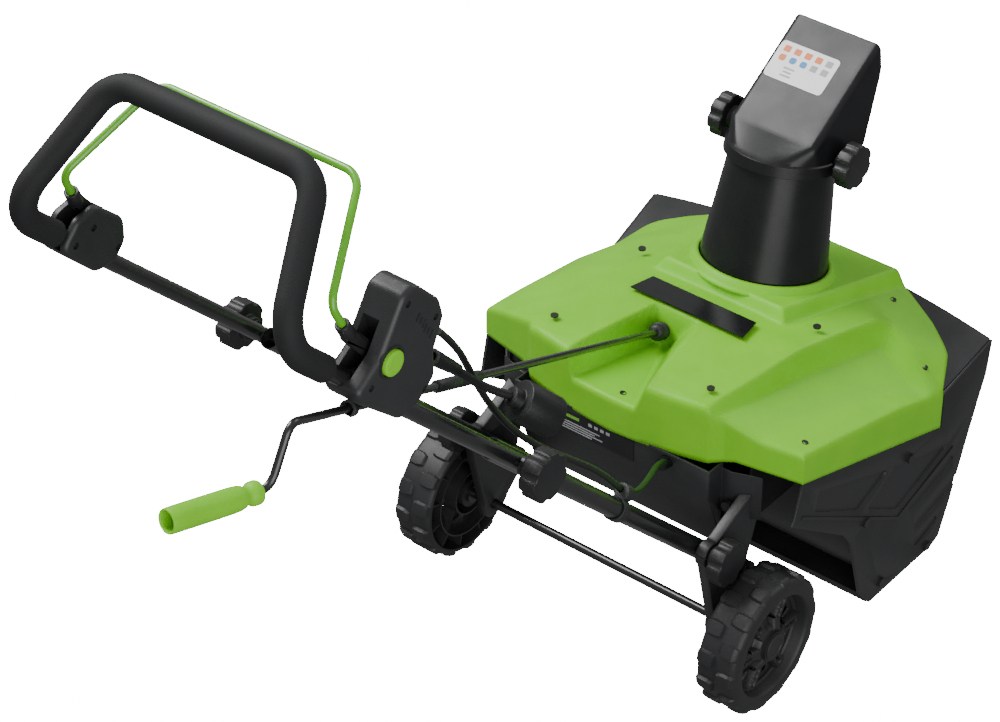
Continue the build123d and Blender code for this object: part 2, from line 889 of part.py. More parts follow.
for label, (x0, x1), y in (("fold_knob", mid_knob_x, fold_y), ("clamp_knob", low_knob_x, clamp_y)):
    right = knob(x0, x1, y, on_tube(y))
    keep(right, label + "_right")
    left = mirrored(right)
    keep(left, label + "_left")

tube_foot = fold_y + 12
half_bar = [(upper_x, tube_foot, on_tube(tube_foot)), (178, bar_y, on_tube(bar_y)), tuple(bar_top)]
bar_path = half_bar + [(-x, y, z) for x, y, z in reversed(half_bar)]
bar_radii = [45, 40, 40, 45]
with BuildPart() as upper_tube:
    add(swept(bar_path, bar_radii, upper_r, upper_r - tube_wall))
    add(across(-upper_x - 20, -upper_x + 20, fold_y, fold_z, knob_bolt_r + running), mode=Mode.SUBTRACT)
    add(across(upper_x - 20, upper_x + 20, fold_y, fold_z, knob_bolt_r + running), mode=Mode.SUBTRACT)
keep(upper_tube, "upper_tube")

foam_y = -943.0
foam_x = upper_x + (178 - upper_x) * (foam_y - tube_foot) / (bar_y - tube_foot)
foam_half = [(foam_x, foam_y, on_tube(foam_y)), *half_bar[1:]]
foam_path = foam_half + [(-x, y, z) for x, y, z in reversed(foam_half)]
with BuildPart() as foam_grip:
    add(swept(foam_path, bar_radii, grip_r, upper_r))
keep(foam_grip, "foam_grip")

# Bail, its brackets and the switch box

pod_outline = [(-950, 858), (-904, 810), (-877, 810), (-860, 828), (-860, 855), (-896, 889), (-924, 884)]
box_outline = [
    (-866, 778),
    (-923, 830),
    (-928, 845),
    (-893, 868),
    (-858, 921),
    (-838, 925),
    (-803, 888),
    (-797, 866),
    (-813, 832),
    (-812, 802),
    (-838, 782),
]
tube_line = swept(bar_path, bar_radii, upper_r)
foam_line = swept(foam_path, bar_radii, grip_r + gap)
crank_line = rod(joint_at, crank_end, crank_r + 1.5)
lever_rest = degrees(atan((bail_socket.Z - bail_z) / (bail_socket.Y - bail_y))) + 180
pocket_x = (upper_x - lever_w / 2 - 6, upper_x + lever_w / 2 + 6)


def pocket_corner(reach, turn):
    """A point at a distance from the bail's pin, turned from the lever's rest line."""
    angle = radians(lever_rest + turn)
    return (bail_y + reach * cos(angle), bail_z + reach * sin(angle))


def pocket(reach):
    """Room for the bail's lever over its whole swing."""
    first = pocket_corner(reach, -32)
    last = pocket_corner(reach, 50)
    with BuildPart() as piece:
        with BuildSketch(Plane.YZ.offset(pocket_x[0])):
            with Locations((bail_y, bail_z)):
                Circle(17)
            with BuildLine():
                Line((bail_y, bail_z), first)
                RadiusArc(first, last, -reach)
                Line(last, (bail_y, bail_z))
            make_face()
        extrude(amount=pocket_x[1] - pocket_x[0])
    return piece.part


lever_room = pocket(75)
boss_in = rod((pocket_x[0], bail_y, bail_z), (upper_x + lever_w / 2 + 1, bail_y, bail_z), pin_r)


def shell(outline, x0, x1):
    with BuildPart() as piece:
        add(slab(outline, x0, x1))
        add(tube_line, mode=Mode.SUBTRACT)
        add(foam_line, mode=Mode.SUBTRACT)
        add(lever_room, mode=Mode.SUBTRACT)
    return piece


pod_inner_raw = shell(pod_outline, pod_x[0], upper_x)
pod_outer_raw = shell(pod_outline, upper_x, pod_x[1])
with BuildPart() as pod_inner_right:
    add(pod_inner_raw.part)
    add(boss_in)
pod_inner = mirrored(pod_inner_right)
keep(pod_inner, "pivot_pod_inner")
pod_outer = mirrored(pod_outer_raw)
keep(pod_outer, "pivot_pod_outer")

box_split = 184.5
switch_room = slab(
    [(-852, 860), (-818, 860), (-818, 880), (-852, 880)], box_split - 12, box_split + 8
)
box_inner_raw = shell(box_outline, box_x[0], box_split)
box_outer_raw = shell(box_outline, box_split, box_x[1])
with BuildPart() as switch_box_inner:
    add(box_inner_raw.part)
    add(boss_in)
    add(switch_room, mode=Mode.SUBTRACT)
    add(crank_line, mode=Mode.SUBTRACT)
keep(switch_box_inner, "switch_box_inner")
with BuildPart() as switch_box_outer:
    add(box_outer_raw.part)
    add(switch_room, mode=Mode.SUBTRACT)
    add(crank_line, mode=Mode.SUBTRACT)
    add(across(button_x[0] - button_travel - 0.8, box_x[1], bail_y, bail_z, button_r + gap), mode=Mode.SUBTRACT)
keep(switch_box_outer, "switch_box_outer")

with BuildPart() as micro_switch:
    add(slab([(-850, 862), (-820, 862), (-820, 878), (-850, 878)], box_split - 9, box_split + 5))
keep(micro_switch, "micro_switch")

with BuildPart() as lock_button:
    add(across(button_x[0], button_x[1], bail_y, bail_z, button_r))
    fillet(lock_button.edges().filter_by(GeomType.CIRCLE).sort_by(Axis.X)[-1:], 2)
keep(lock_button, "lock_button")

screw_spots = [(-900, 868), (-872, 822), (-930, 858)]
with BuildPart() as pod_screws:
    for y, z in screw_spots:
        add(across(-pod_x[1] - 1, -pod_x[1], y, z, 4))
    for y, z in ((-850, 905), (-812, 872), (-828, 800), (-906, 842)):
        add(across(box_x[1], box_x[1] + 1, y, z, 4))
keep(pod_screws, "pod_screws")

socket_dir = (bail_shoulder - bail_socket).normalized()
socket_end = bail_socket + socket_dir * 18
with BuildPart() as bail_lever_right:
    with BuildSketch(Plane.YZ.offset(upper_x - lever_w / 2)):
        with Locations((bail_y, bail_z)):
            Circle(8)
        with Locations((bail_socket.Y, bail_socket.Z)):
            Circle(8)
        make_hull()
        with Locations((bail_y, bail_z)):
            Circle(pin_r + running, mode=Mode.SUBTRACT)
    extrude(amount=lever_w)
    add(rod(bail_socket, socket_end, 8))
    add(rod(bail_socket, socket_end, bail_r), mode=Mode.SUBTRACT)
with BuildPart() as bail_levers:
    add(bail_lever_right.part)
    mirror(about=Plane.YZ)
keep(bail_levers, "bail_levers")

bail_half = [tuple(bail_socket), tuple(bail_shoulder), tuple(bail_top)]
bail_path = bail_half + [(-x, y, z) for x, y, z in reversed(bail_half)]
with BuildPart() as bail_rod:
    add(swept(bail_path, [18, 26, 26, 18], bail_r))
keep(bail_rod, "bail_rod")


# Chute, hood and their drive

foot_axis_s = crown_s - pinion_r
gear_foot = chute_at + chute_dir * foot_axis_s
out_dir = (joint_at - gear_foot)
out_dir = (out_dir - chute_dir * out_dir.dot(chute_dir)).normalized()
crown_out = crown_r + crown_face / 2
mesh_deg = degrees(atan(out_dir.X / out_dir.dot(gear_plane(0).y_dir))) * -1 - 90

with BuildPart() as chute_gear:
    with BuildSketch(gear_plane(crown_s + tooth_h + 1.4)):
        Circle(crown_out)
        Circle(cone_r - wall, mode=Mode.SUBTRACT)
    extrude(amount=6.6)
    with BuildSketch(gear_plane(crown_s - tooth_h)):
        with PolarLocations(crown_r, crown_teeth, start_angle=mesh_deg + 180 / crown_teeth):
            Rectangle(crown_face, tooth_w)
    extrude(amount=2 * tooth_h + 2)

with BuildPart() as chute_cone:
    with BuildSketch(Plane(origin=chute_at, x_dir=(1, 0, 0), z_dir=(0, -chute_dir.Z, chute_dir.Y))):
        with BuildLine():
            Polyline(
                (cone_r - wall, crown_s + 10),
                (cone_r, crown_s + 10),
                (cone_r, 0),
                (cone_mid_r, cone_mid_s),
                (cone_top_r, cone_top_s),
                (cone_top_r - wall, cone_top_s),
                (cone_mid_r - wall, cone_mid_s),
                (cone_r - wall, 0),
                close=True,
            )
        make_face()
    revolve(axis=Axis(chute_at, chute_dir))
    for sign in (1, -1):
        add(across(sign * 58, sign * 66, tilt_y, tilt_z, 10))
        add(across(sign * 50, sign * 70, tilt_y, tilt_z, knob_bolt_r), mode=Mode.SUBTRACT)
    add(chute_gear.part)
keep(chute_cone, "chute_cone")

pinion_plane = Plane(origin=gear_foot + out_dir * (crown_r - crown_face / 2), x_dir=chute_dir, z_dir=out_dir)
ball_r = 8.0
with BuildPart() as chute_pinion:
    with BuildSketch(pinion_plane):
        Circle(pinion_r - tooth_h - 1)
        with PolarLocations(pinion_r - 1, pinion_teeth, start_angle=0):
            Rectangle(2 * tooth_h + 2, tooth_w - 0.6)
    extrude(amount=crown_face)
    with BuildSketch(pinion_plane):
        Circle(5)
    extrude(amount=(joint_at - pinion_plane.origin).length)
    with Locations(joint_at):
        Sphere(ball_r)
keep(chute_pinion, "chute_pinion")

bearing_near = gear_foot + out_dir * 118
bearing_far = gear_foot + out_dir * 138
with BuildPart() as pinion_bracket:
    add(rod(bearing_near, bearing_far, 12))
    with BuildSketch(Plane.XY.offset(190)):
        with Locations((bearing_near.X - 1, (bearing_near.Y + bearing_far.Y) / 2)):
            Rectangle(16, 16)
    extrude(amount=bearing_near.Z - 190)
    with BuildSketch(Plane.XY.offset(187)):
        with Locations((bearing_near.X - 1, -50)):
            Rectangle(50, 44)
    extrude(amount=4)
    add(rod(gear_foot + out_dir * 100, gear_foot + out_dir * 160, 5 + 4 * running), mode=Mode.SUBTRACT)
    add(slab([(-50, 100), (60, 100), (60, 240), (-50, 240)], -100, 100), mode=Mode.SUBTRACT)
keep(pinion_bracket, "pinion_bracket")

cup_r = 11.5
with BuildPart() as crank_rod:
    add(rod(joint_at, joint_at + crank_dir * 22, cup_r))
    with Locations(joint_at):
        Sphere(ball_r + gap, mode=Mode.SUBTRACT)
    arm_end = crank_end + arm_dir * arm_len
    stub_end = arm_end + stub_dir * (grip_to + 2)
    add(swept(
        [tuple(joint_at + crank_dir * 18), tuple(crank_end), tuple(arm_end), tuple(stub_end)], [12, 12], crank_r
    ))
    add(rod(stub_end - stub_dir * (2 - gap), stub_end + stub_dir * 1, 8))
keep(crank_rod, "crank_rod")

sleeve_at = (604.0, 721.0)
with BuildPart() as crank_sleeve:
    add(rod(joint_at + crank_dir * sleeve_at[0], joint_at + crank_dir * sleeve_at[1], 7, crank_r))
keep(crank_sleeve, "crank_sleeve")

with BuildPart() as crank_grip:
    add(rod(arm_end + stub_dir * grip_from, arm_end + stub_dir * grip_to, 13, crank_r + running))
    add(rod(arm_end + stub_dir * grip_from, arm_end + stub_dir * (grip_from + 8), 10, crank_r + running))
    fillet(crank_grip.edges().filter_by(GeomType.CIRCLE).sort_by(Axis.Y)[:1], 1)
keep(crank_grip, "crank_grip")

# Hood: its sides lean in from the tilt bolts to the back plate

plate_slope = 0.63
plate_angle = atan(plate_slope)
plate_n = Vector(0, -sin(plate_angle), cos(plate_angle))
plate_rear_y = 50.0
ear_out = 72.0


def plate_at(y, inset):
    return 573 + plate_slope * (y - 100) - inset / cos(plate_angle)


def hood_volume(inset):
    more = 40 if inset > 0 else 0
    with BuildPart() as piece:
        add(slab(
            [
                (plate_rear_y - more, plate_at(plate_rear_y - more, inset)),
                (211 + more, plate_at(211 + more, inset)),
                (209 + more, 610 - more),
                (162 + more, 528 - more),
                (tilt_y, 508 - more),
                (tilt_y - 20, 520 - more),
                (76 - more, 548 - more),
            ],
            -90,
            90,
        ))
        for sign in (1, -1):
            side = Vector(sign * 44, 10 * plate_n.Y, 10 * plate_n.Z)
            split(
                bisect_by=Plane(origin=(sign * (ear_out - inset), tilt_y, tilt_z), z_dir=side), keep=Keep.BOTTOM
            )
    return piece.part


hood_out = hood_volume(0)
hood_in = hood_volume(wall)
with BuildPart() as deflector_hood:
    add(hood_out)
    add(hood_in, mode=Mode.SUBTRACT)
    add(across(-90, 90, tilt_y, tilt_z, knob_bolt_r + running), mode=Mode.SUBTRACT)
keep(deflector_hood, "deflector_hood")

with BuildPart() as hood_label:
    with BuildSketch(Plane(
        origin=(0, 160, plate_at(160, 0)), x_dir=(1, 0, 0), z_dir=plate_n
    )):
        RectangleRounded(74, 50, 6)
    extrude(amount=0.6)
keep(hood_label, "hood_label")

with BuildPart() as tilt_bolts:
    add(across(54, 58, tilt_y, tilt_z, 8))
    add(across(58, hood_knob_x[1] - 8, tilt_y, tilt_z, knob_bolt_r))
    mirror(about=Plane.YZ)
keep(tilt_bolts, "tilt_bolts")

tilt_knob_right = knob(hood_knob_x[0], hood_knob_x[1], tilt_y, tilt_z)
keep(tilt_knob_right, "tilt_knob_right")
tilt_knob_left = mirrored(tilt_knob_right)
keep(tilt_knob_left, "tilt_knob_left")


# Crank hook, cords, plug

hook_s = 938.0
hook_at = joint_at + crank_dir * hook_s
hook_tube = Vector(upper_x, (hook_at.Y - hook_at.Z + line_sum) / 2, (hook_at.Z - hook_at.Y + line_sum) / 2)
with BuildPart() as crank_hook:
    add(rod(hook_tube + Vector(0, 5, -5), hook_tube + Vector(0, -5, 5), upper_r + 4, upper_r))
    add(rod(hook_at - crank_dir * 5, hook_at + crank_dir * 5, crank_r + 4.5))
    add(rod(hook_at - crank_dir * 8, hook_at + crank_dir * 8, crank_r + 1.0), mode=Mode.SUBTRACT)
    add(rod(hook_tube + Vector(0, 9, -9), hook_tube + Vector(0, -9, 9), upper_r), mode=Mode.SUBTRACT)
    add(slab(box_outline, *box_x), mode=Mode.SUBTRACT)
    add(tube_line, mode=Mode.SUBTRACT)
    # the mouth that the crank leaves by when the handle folds
    mouth = Plane(origin=hook_at, x_dir=crank_dir, z_dir=(0, -1, -1))
    with BuildSketch(mouth):
        Rectangle(40, 2 * crank_r + 2)
    extrude(amount=20, mode=Mode.SUBTRACT)
keep(crank_hook, "crank_hook")

supply_points = [
    (170, -768, 779),
    (170, -741, 751.5),
    (175.0, -716.5, 723.2),
    (183.1, -700.0, 707.1),
    tuple(plug_at),
]
with BuildPart() as supply_lead:
    add(cord(supply_points, supply_r, 400))
keep(supply_lead, "supply_lead")

with BuildPart() as supply_relief:
    with BuildSketch(Plane(origin=relief_at, z_dir=(0, 39, -39))):
        Circle(9)
        Circle(supply_r, mode=Mode.SUBTRACT)
    with BuildSketch(Plane(origin=relief_at + Vector(0, 39, -39), z_dir=(0, 39, -39))):
        Circle(6.5)
        Circle(supply_r, mode=Mode.SUBTRACT)
    loft()
    add(supply_lead.part, mode=Mode.SUBTRACT)
keep(supply_relief, "supply_relief")

plug_end = plug_at + plug_dir * plug_len
with BuildPart() as supply_plug:
    add(rod(plug_at, plug_at + plug_dir * 14, 11))
    add(rod(plug_at + plug_dir * 12, plug_end, plug_r))
    add(rod(plug_at + plug_dir * 38, plug_end + plug_dir, plug_r - 4), mode=Mode.SUBTRACT)
    add(supply_lead.part, mode=Mode.SUBTRACT)
keep(supply_plug, "supply_plug")

with BuildPart() as plug_pins:
    pin_plane = Plane(origin=plug_at + plug_dir * 38, z_dir=plug_dir)
    with BuildSketch(pin_plane):
        with PolarLocations(8, 3):
            Circle(2.4)
    extrude(amount=17)
keep(plug_pins, "plug_pins")

lead_upper = [(170, -765, 812), (164, -730, 771), (159, -703, 721), (157, -682, 680), (156, -662, 645)]
lead_lower = [
    (155, -655, 635),
    (154, -624, 593),
    (157, -581, 545),
    (156, -527, 496),
    (155, -471, 443),
    (153, -430, 392),
    (142, -385, 350),
    (120, -330, 325),
    (98, -280, 309),
    (85, -245, 283),
]
with BuildPart() as motor_lead_upper:
    add(cord(lead_upper, lead_r, 60))
keep(motor_lead_upper, "motor_lead_upper")
with BuildPart() as motor_lead_lower:
    add(cord(lead_lower, lead_r, 60))
keep(motor_lead_lower, "motor_lead_lower")

with BuildPart() as cable_gland:
    add(gland_line)
    add(motor_lead_lower.part, mode=Mode.SUBTRACT)
keep(cable_gland, "cable_gland")

clip_y = -440.0
clip_up = Vector(0, 1, 1).normalized()
clip_c = Vector(lower_x, clip_y, on_tube(clip_y))
tube_dir = Vector(0, -1, 1).normalized()
with BuildPart() as cable_clip:
    add(rod(clip_c - tube_dir * 8, clip_c + tube_dir * 8, lower_r + 2.5, lower_r))
    add(rod(
        clip_c + clip_up * 21 - tube_dir * 8, clip_c + clip_up * 21 + tube_dir * 8, lead_r + 6
    ))
    add(rod(clip_c - tube_dir * 9, clip_c + tube_dir * 9, lower_r), mode=Mode.SUBTRACT)
    add(motor_lead_lower.part, mode=Mode.SUBTRACT)
keep(cable_clip, "cable_clip")
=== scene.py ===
import json
import math

import bmesh
import bpy
import numpy as np
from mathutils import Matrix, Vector


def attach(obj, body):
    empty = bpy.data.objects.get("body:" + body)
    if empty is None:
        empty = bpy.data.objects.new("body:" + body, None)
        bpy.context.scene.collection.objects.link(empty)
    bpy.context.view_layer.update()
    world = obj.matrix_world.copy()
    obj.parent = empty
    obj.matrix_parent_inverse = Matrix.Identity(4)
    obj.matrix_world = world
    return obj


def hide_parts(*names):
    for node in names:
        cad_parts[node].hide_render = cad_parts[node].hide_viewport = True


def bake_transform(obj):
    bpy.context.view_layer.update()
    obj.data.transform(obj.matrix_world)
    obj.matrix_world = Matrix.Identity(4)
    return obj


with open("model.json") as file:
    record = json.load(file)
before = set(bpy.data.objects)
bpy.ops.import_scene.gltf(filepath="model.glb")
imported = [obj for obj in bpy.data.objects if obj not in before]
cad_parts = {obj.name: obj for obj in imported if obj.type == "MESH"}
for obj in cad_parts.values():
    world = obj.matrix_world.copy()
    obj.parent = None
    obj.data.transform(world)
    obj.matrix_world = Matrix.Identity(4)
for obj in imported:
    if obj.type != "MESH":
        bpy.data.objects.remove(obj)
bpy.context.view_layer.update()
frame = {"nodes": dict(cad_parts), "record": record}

nodes = frame["nodes"]
mm = 0.001
slotOf = {entry["node"]: entry["material_slot"] for entry in frame["record"]["subparts"]}
bodies = frame["record"]["behaviour"]["bodies"]
bodyOf = {node: body for body, members in bodies.items() for node in members}
print("frame loaded:", len(nodes), "nodes")


# where the camera stands

cameraSet = {
    "place": (1.8294, -2.7281, 2.6891),
    "look": (-0.503, 0.6245, -0.5974),
    "lens": 116.1,
    "sensor": 36.0,
}
cameraData = bpy.data.cameras.new("camera")
cameraData.lens = cameraSet["lens"]
cameraData.sensor_width = cameraSet["sensor"]
camera = bpy.data.objects.new("camera", cameraData)
bpy.context.scene.collection.objects.link(camera)
camera.location = cameraSet["place"]
camera.rotation_euler = Vector(cameraSet["look"]).to_track_quat("-Z", "Y").to_euler()
bpy.context.scene.camera = camera


def linearColour(hexCode):
    # sRGB hex to linear, channel by channel
    parts = [int(hexCode[i:i + 2], 16) / 255 for i in (1, 3, 5)]
    return [p / 12.92 if p <= 0.04045 else ((p + 0.055) / 1.055) ** 2.4 for p in parts] + [1.0]


def addNode(tree, kind, settings=None, inputs=None, links=None):
    # one node with its settings, constant inputs and incoming links
    node = tree.nodes.new(kind)
    for name, value in (settings or {}).items():
        setattr(node, name, value)
    for name, value in (inputs or {}).items():
        node.inputs[name].default_value = value
    for name, (source, socket) in (links or {}).items():
        tree.links.new(source.outputs[socket], node.inputs[name])
    return node


def objectFrom(name, points, faces, smooth=True):
    mesh = bpy.data.meshes.new(name)
    mesh.from_pydata([tuple(p) for p in points], [], [tuple(f) for f in faces])
    mesh.validate()
    mesh.update()
    if smooth:
        mesh.polygons.foreach_set("use_smooth", np.ones(len(mesh.polygons), bool))
    piece = bpy.data.objects.new(name, mesh)
    bpy.context.scene.collection.objects.link(piece)
    return piece


def gridFaces(rows, columns, closedRows=False, closedColumns=False):
    # quads of a rows by columns grid of points, counted row by row
    r = np.arange(rows if closedRows else rows - 1)
    c = np.arange(columns if closedColumns else columns - 1)
    a, b = np.meshgrid(r, c, indexing="ij")
    a2, b2 = (a + 1) % rows, (b + 1) % columns
    quads = np.stack([a * columns + b, a * columns + b2, a2 * columns + b2, a2 * columns + b], -1)
    return quads.reshape(-1, 4)


def finishPiece(piece, material, body, replaced=()):
    piece.data.materials.clear()
    piece.data.materials.append(material)
    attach(piece, body)
    if replaced:
        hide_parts(*replaced)
    return piece


def cleanCopy(nodeName, pieceName):
    # a CAD piece's mesh as a new object: merged at its seams, needless edges dissolved
    node = nodes[nodeName]
    mesh = node.data.copy()
    mesh.transform(node.matrix_world)
    work = bmesh.new()
    work.from_mesh(mesh)
    bmesh.ops.remove_doubles(work, verts=work.verts, dist=0.004 * mm)
    bmesh.ops.dissolve_limit(work, angle_limit=math.radians(0.8), verts=work.verts, edges=work.edges)
    work.to_mesh(mesh)
    work.free()
    mesh.name = pieceName
    mesh.polygons.foreach_set("use_smooth", np.ones(len(mesh.polygons), bool))
    piece = bpy.data.objects.new(pieceName, mesh)
    bpy.context.scene.collection.objects.link(piece)
    return piece


def bevelled(piece, width, segments=2, turn=34):
    # moulded edges: every edge sharper than the given turn gets a small round
    bevel = piece.modifiers.new("edges", "BEVEL")
    bevel.width = width * mm
    bevel.segments = segments
    bevel.limit_method = "ANGLE"
    bevel.angle_limit = math.radians(turn)
    bevel.use_clamp_overlap = False
    bevel.harden_normals = True
    return piece


def softened(nodeName, width, segments=2, material=None):
    # the CAD piece again, with rounded edges
    piece = bevelled(cleanCopy(nodeName, nodeName + "Soft"), width, segments)
    slotName = slotOf[nodeName]
    return finishPiece(piece, material or cadMaterials[slotName], bodyOf[nodeName], [nodeName])


def cutAway(piece, cutters):
    # takes the volume of each cutter out of a piece, then drops the cutters
    for cutter in cutters:
        cut = piece.modifiers.new("cut", "BOOLEAN")
        cut.operation = "DIFFERENCE"
        cut.solver = "EXACT"
        cut.object = cutter
    seen = piece.evaluated_get(bpy.context.evaluated_depsgraph_get())
    piece.data = bpy.data.meshes.new_from_object(seen)
    piece.modifiers.clear()
    for cutter in cutters:
        bpy.data.objects.remove(cutter)
    return piece


def roundedOutline(points, radius, steps=7):
    # a closed outline, counter-clockwise, with each corner turned into a curve
    corners = np.array(points, float)
    ahead = np.roll(corners, -1, 0)
    if (corners[:, 0] * ahead[:, 1] - corners[:, 1] * ahead[:, 0]).sum() < 0:
        corners = corners[::-1]
    back = np.roll(corners, 1, 0) - corners
    forth = np.roll(corners, -1, 0) - corners
    backLength = np.linalg.norm(back, axis=1)
    forthLength = np.linalg.norm(forth, axis=1)
    back /= backLength[:, None]
    forth /= forthLength[:, None]
    half = np.arccos(np.clip((back * forth).sum(1), -0.9999, 0.9999)) / 2
    cut = np.minimum(radius / np.tan(half), 0.46 * np.minimum(backLength, forthLength))[:, None, None]
    t = np.linspace(0, 1, steps)[None, :, None]
    middle = corners[:, None, :]
    start = middle + back[:, None, :] * cut
    end = middle + forth[:, None, :] * cut
    return ((1 - t) ** 2 * start + 2 * t * (1 - t) * middle + t ** 2 * end).reshape(-1, 2)


def insetOutline(outline, distance):
    # each point moved inwards along its own normal
    ahead = np.roll(outline, -1, 0) - outline
    ahead /= np.linalg.norm(ahead, axis=1)[:, None]
    line = ahead + np.roll(ahead, 1, 0)
    line /= np.linalg.norm(line, axis=1)[:, None]
    return outline + np.stack([-line[:, 1], line[:, 0]], -1) * distance


def roundedSlab(name, outline, low, high, edge=0.0, steps=5):
    # a plate with its outline in (Y, Z), from one X to another, its rim rounded by edge; all in mm
    turn = np.linspace(0, np.pi / 2, steps) if edge > 0 else np.array([np.pi / 2])
    inset = edge * (1 - np.sin(turn))
    depth = edge * (1 - np.cos(turn))
    rings = [(low + d, i) for d, i in zip(depth, inset)]
    rings += [(high - d, i) for d, i in zip(depth[::-1], inset[::-1])]
    layers = [np.column_stack([np.full(len(outline), x), insetOutline(outline, i)]) for x, i in rings]
    count = len(outline)
    faces = gridFaces(len(layers), count, closedColumns=True)[:, ::-1].tolist()
    last = (len(layers) - 1) * count
    faces += [list(range(count))[::-1], list(range(last, last + count))]
    piece = objectFrom(name, np.concatenate(layers) * mm, faces)
    facingOut(piece)
    return piece


def facingOut(piece, sharp=32):
    # consistent normals, and shading split at sharp edges
    work = bmesh.new()
    work.from_mesh(piece.data)
    bmesh.ops.recalc_face_normals(work, faces=work.faces)
    work.to_mesh(piece.data)
    work.free()
    piece.data.set_sharp_from_angle(angle=math.radians(sharp))


def frameAlong(direction):
    # two unit vectors square to a direction
    d = np.array(direction, float) / np.linalg.norm(direction)
    side = np.cross(d, [0.0, 0.0, 1.0] if abs(d[2]) < 0.9 else [1.0, 0.0, 0.0])
    side /= np.linalg.norm(side)
    return d, side, np.cross(d, side)


def turnedPart(origin, direction, profile, turns=64):
    # points and faces of a profile of (along, radius) pairs, turned about an axis
    d, side, up = frameAlong(direction)
    angle = np.linspace(0, 2 * np.pi, turns, endpoint=False)
    spoke = np.cos(angle)[:, None] * side + np.sin(angle)[:, None] * up
    line = np.array(profile, float)
    points = np.array(origin, float) + line[:, None, 0:1] * d + line[:, None, 1:2] * spoke[None]
    return points.reshape(-1, 3), gridFaces(len(line), turns, closedColumns=True)


def boxPart(centre, axes, size):
    # points and faces of a box from its centre, three unit axes and full sizes
    corner = np.array([(i, j, k) for i in (-0.5, 0.5) for j in (-0.5, 0.5) for k in (-0.5, 0.5)])
    points = np.array(centre, float) + (corner * np.array(size, float)) @ np.array(axes, float)
    quads = np.array([(0, 1, 3, 2), (4, 6, 7, 5), (0, 4, 5, 1), (2, 3, 7, 6), (0, 2, 6, 4), (1, 5, 7, 3)])
    return points, quads


def joinParts(name, parts):
    # several (points, faces) parts in mm as one object in metres
    count = 0
    points = []
    faces = []
    for partPoints, partFaces in parts:
        points.append(partPoints)
        faces.append(np.asarray(partFaces) + count)
        count += len(partPoints)
    piece = objectFrom(name, np.concatenate(points) * mm, np.concatenate(faces))
    facingOut(piece)
    return piece


def smooth(low, high, value):
    t = np.clip((value - low) / (high - low), 0, 1)
    return t * t * (3 - 2 * t)


def startMaterial(name):
    material = bpy.data.materials.new(name)
    material.use_nodes = True
    tree = material.node_tree
    shader = tree.nodes["Principled BSDF"]
    place = addNode(tree, "ShaderNodeTexCoord")
    return material, tree, shader, place


def mouldedPlastic(name, light, dark, roughness, grainMm, grainDepth, patchMm=60, specular=0.5):
    # injection moulded polypropylene: spark-eroded grain, faint flow patches, satin shine
    material, tree, shader, place = startMaterial(name)
    patches = addNode(
        tree, "ShaderNodeTexNoise", inputs={"Scale": 1 / (patchMm * mm), "Detail": 3.0, "Roughness": 0.55},
        links={"Vector": (place, "Object")},
    )
    tint = addNode(tree, "ShaderNodeValToRGB", links={"Fac": (patches, "Fac")})
    tint.color_ramp.elements[0].position = 0.30
    tint.color_ramp.elements[1].position = 0.72
    tint.color_ramp.elements[0].color = linearColour(dark)
    tint.color_ramp.elements[1].color = linearColour(light)
    tree.links.new(tint.outputs["Color"], shader.inputs["Base Color"])
    grain = addNode(
        tree, "ShaderNodeTexNoise", inputs={"Scale": 1 / (grainMm * mm), "Detail": 2.0, "Roughness": 0.6},
        links={"Vector": (place, "Object")},
    )
    bump = addNode(
        tree, "ShaderNodeBump", inputs={"Strength": 0.35, "Distance": grainDepth * mm},
        links={"Height": (grain, "Fac")},
    )
    tree.links.new(bump.outputs["Normal"], shader.inputs["Normal"])
    wear = addNode(
        tree, "ShaderNodeMapRange",
        inputs={"From Min": 0.3, "From Max": 0.7, "To Min": roughness - 0.05, "To Max": roughness + 0.06},
        links={"Value": (patches, "Fac")},
    )
    tree.links.new(wear.outputs["Result"], shader.inputs["Roughness"])
    shader.inputs["IOR"].default_value = 1.49
    shader.inputs["Specular IOR Level"].default_value = specular
    return material


def coatedSteel(name, colour, roughness, peelMm=1.6):
    # powder coated steel tube: glossy, with a fine orange peel
    material, tree, shader, place = startMaterial(name)
    peel = addNode(
        tree, "ShaderNodeTexNoise", inputs={"Scale": 1 / (peelMm * mm), "Detail": 1.0},
        links={"Vector": (place, "Object")},
    )
    bump = addNode(
        tree, "ShaderNodeBump", inputs={"Strength": 0.12, "Distance": 0.2 * mm},
        links={"Height": (peel, "Fac")},
    )
    tree.links.new(bump.outputs["Normal"], shader.inputs["Normal"])
    dust = addNode(
        tree, "ShaderNodeTexNoise", inputs={"Scale": 14.0, "Detail": 4.0}, links={"Vector": (place, "Object")}
    )
    shine = addNode(
        tree, "ShaderNodeMapRange",
        inputs={"From Min": 0.35, "From Max": 0.7, "To Min": roughness, "To Max": roughness + 0.12},
        links={"Value": (dust, "Fac")},
    )
    tree.links.new(shine.outputs["Result"], shader.inputs["Roughness"])
    shader.inputs["Base Color"].default_value = linearColour(colour)
    shader.inputs["IOR"].default_value = 1.5
    shader.inputs["Coat Weight"].default_value = 0.35
    shader.inputs["Coat Roughness"].default_value = 0.12
    return material


def platedSteel(name, colour, roughness):
    # zinc plated steel: cool grey metal, lightly clouded by handling
    material, tree, shader, place = startMaterial(name)
    cloud = addNode(
        tree, "ShaderNodeTexNoise", inputs={"Scale": 1 / (9 * mm), "Detail": 3.0},
        links={"Vector": (place, "Object")},
    )
    shine = addNode(
        tree, "ShaderNodeMapRange",
        inputs={"From Min": 0.3, "From Max": 0.7, "To Min": roughness - 0.06, "To Max": roughness + 0.1},
        links={"Value": (cloud, "Fac")},
    )
    tree.links.new(shine.outputs["Result"], shader.inputs["Roughness"])
    shader.inputs["Base Color"].default_value = linearColour(colour)
    shader.inputs["Metallic"].default_value = 1.0
    return material


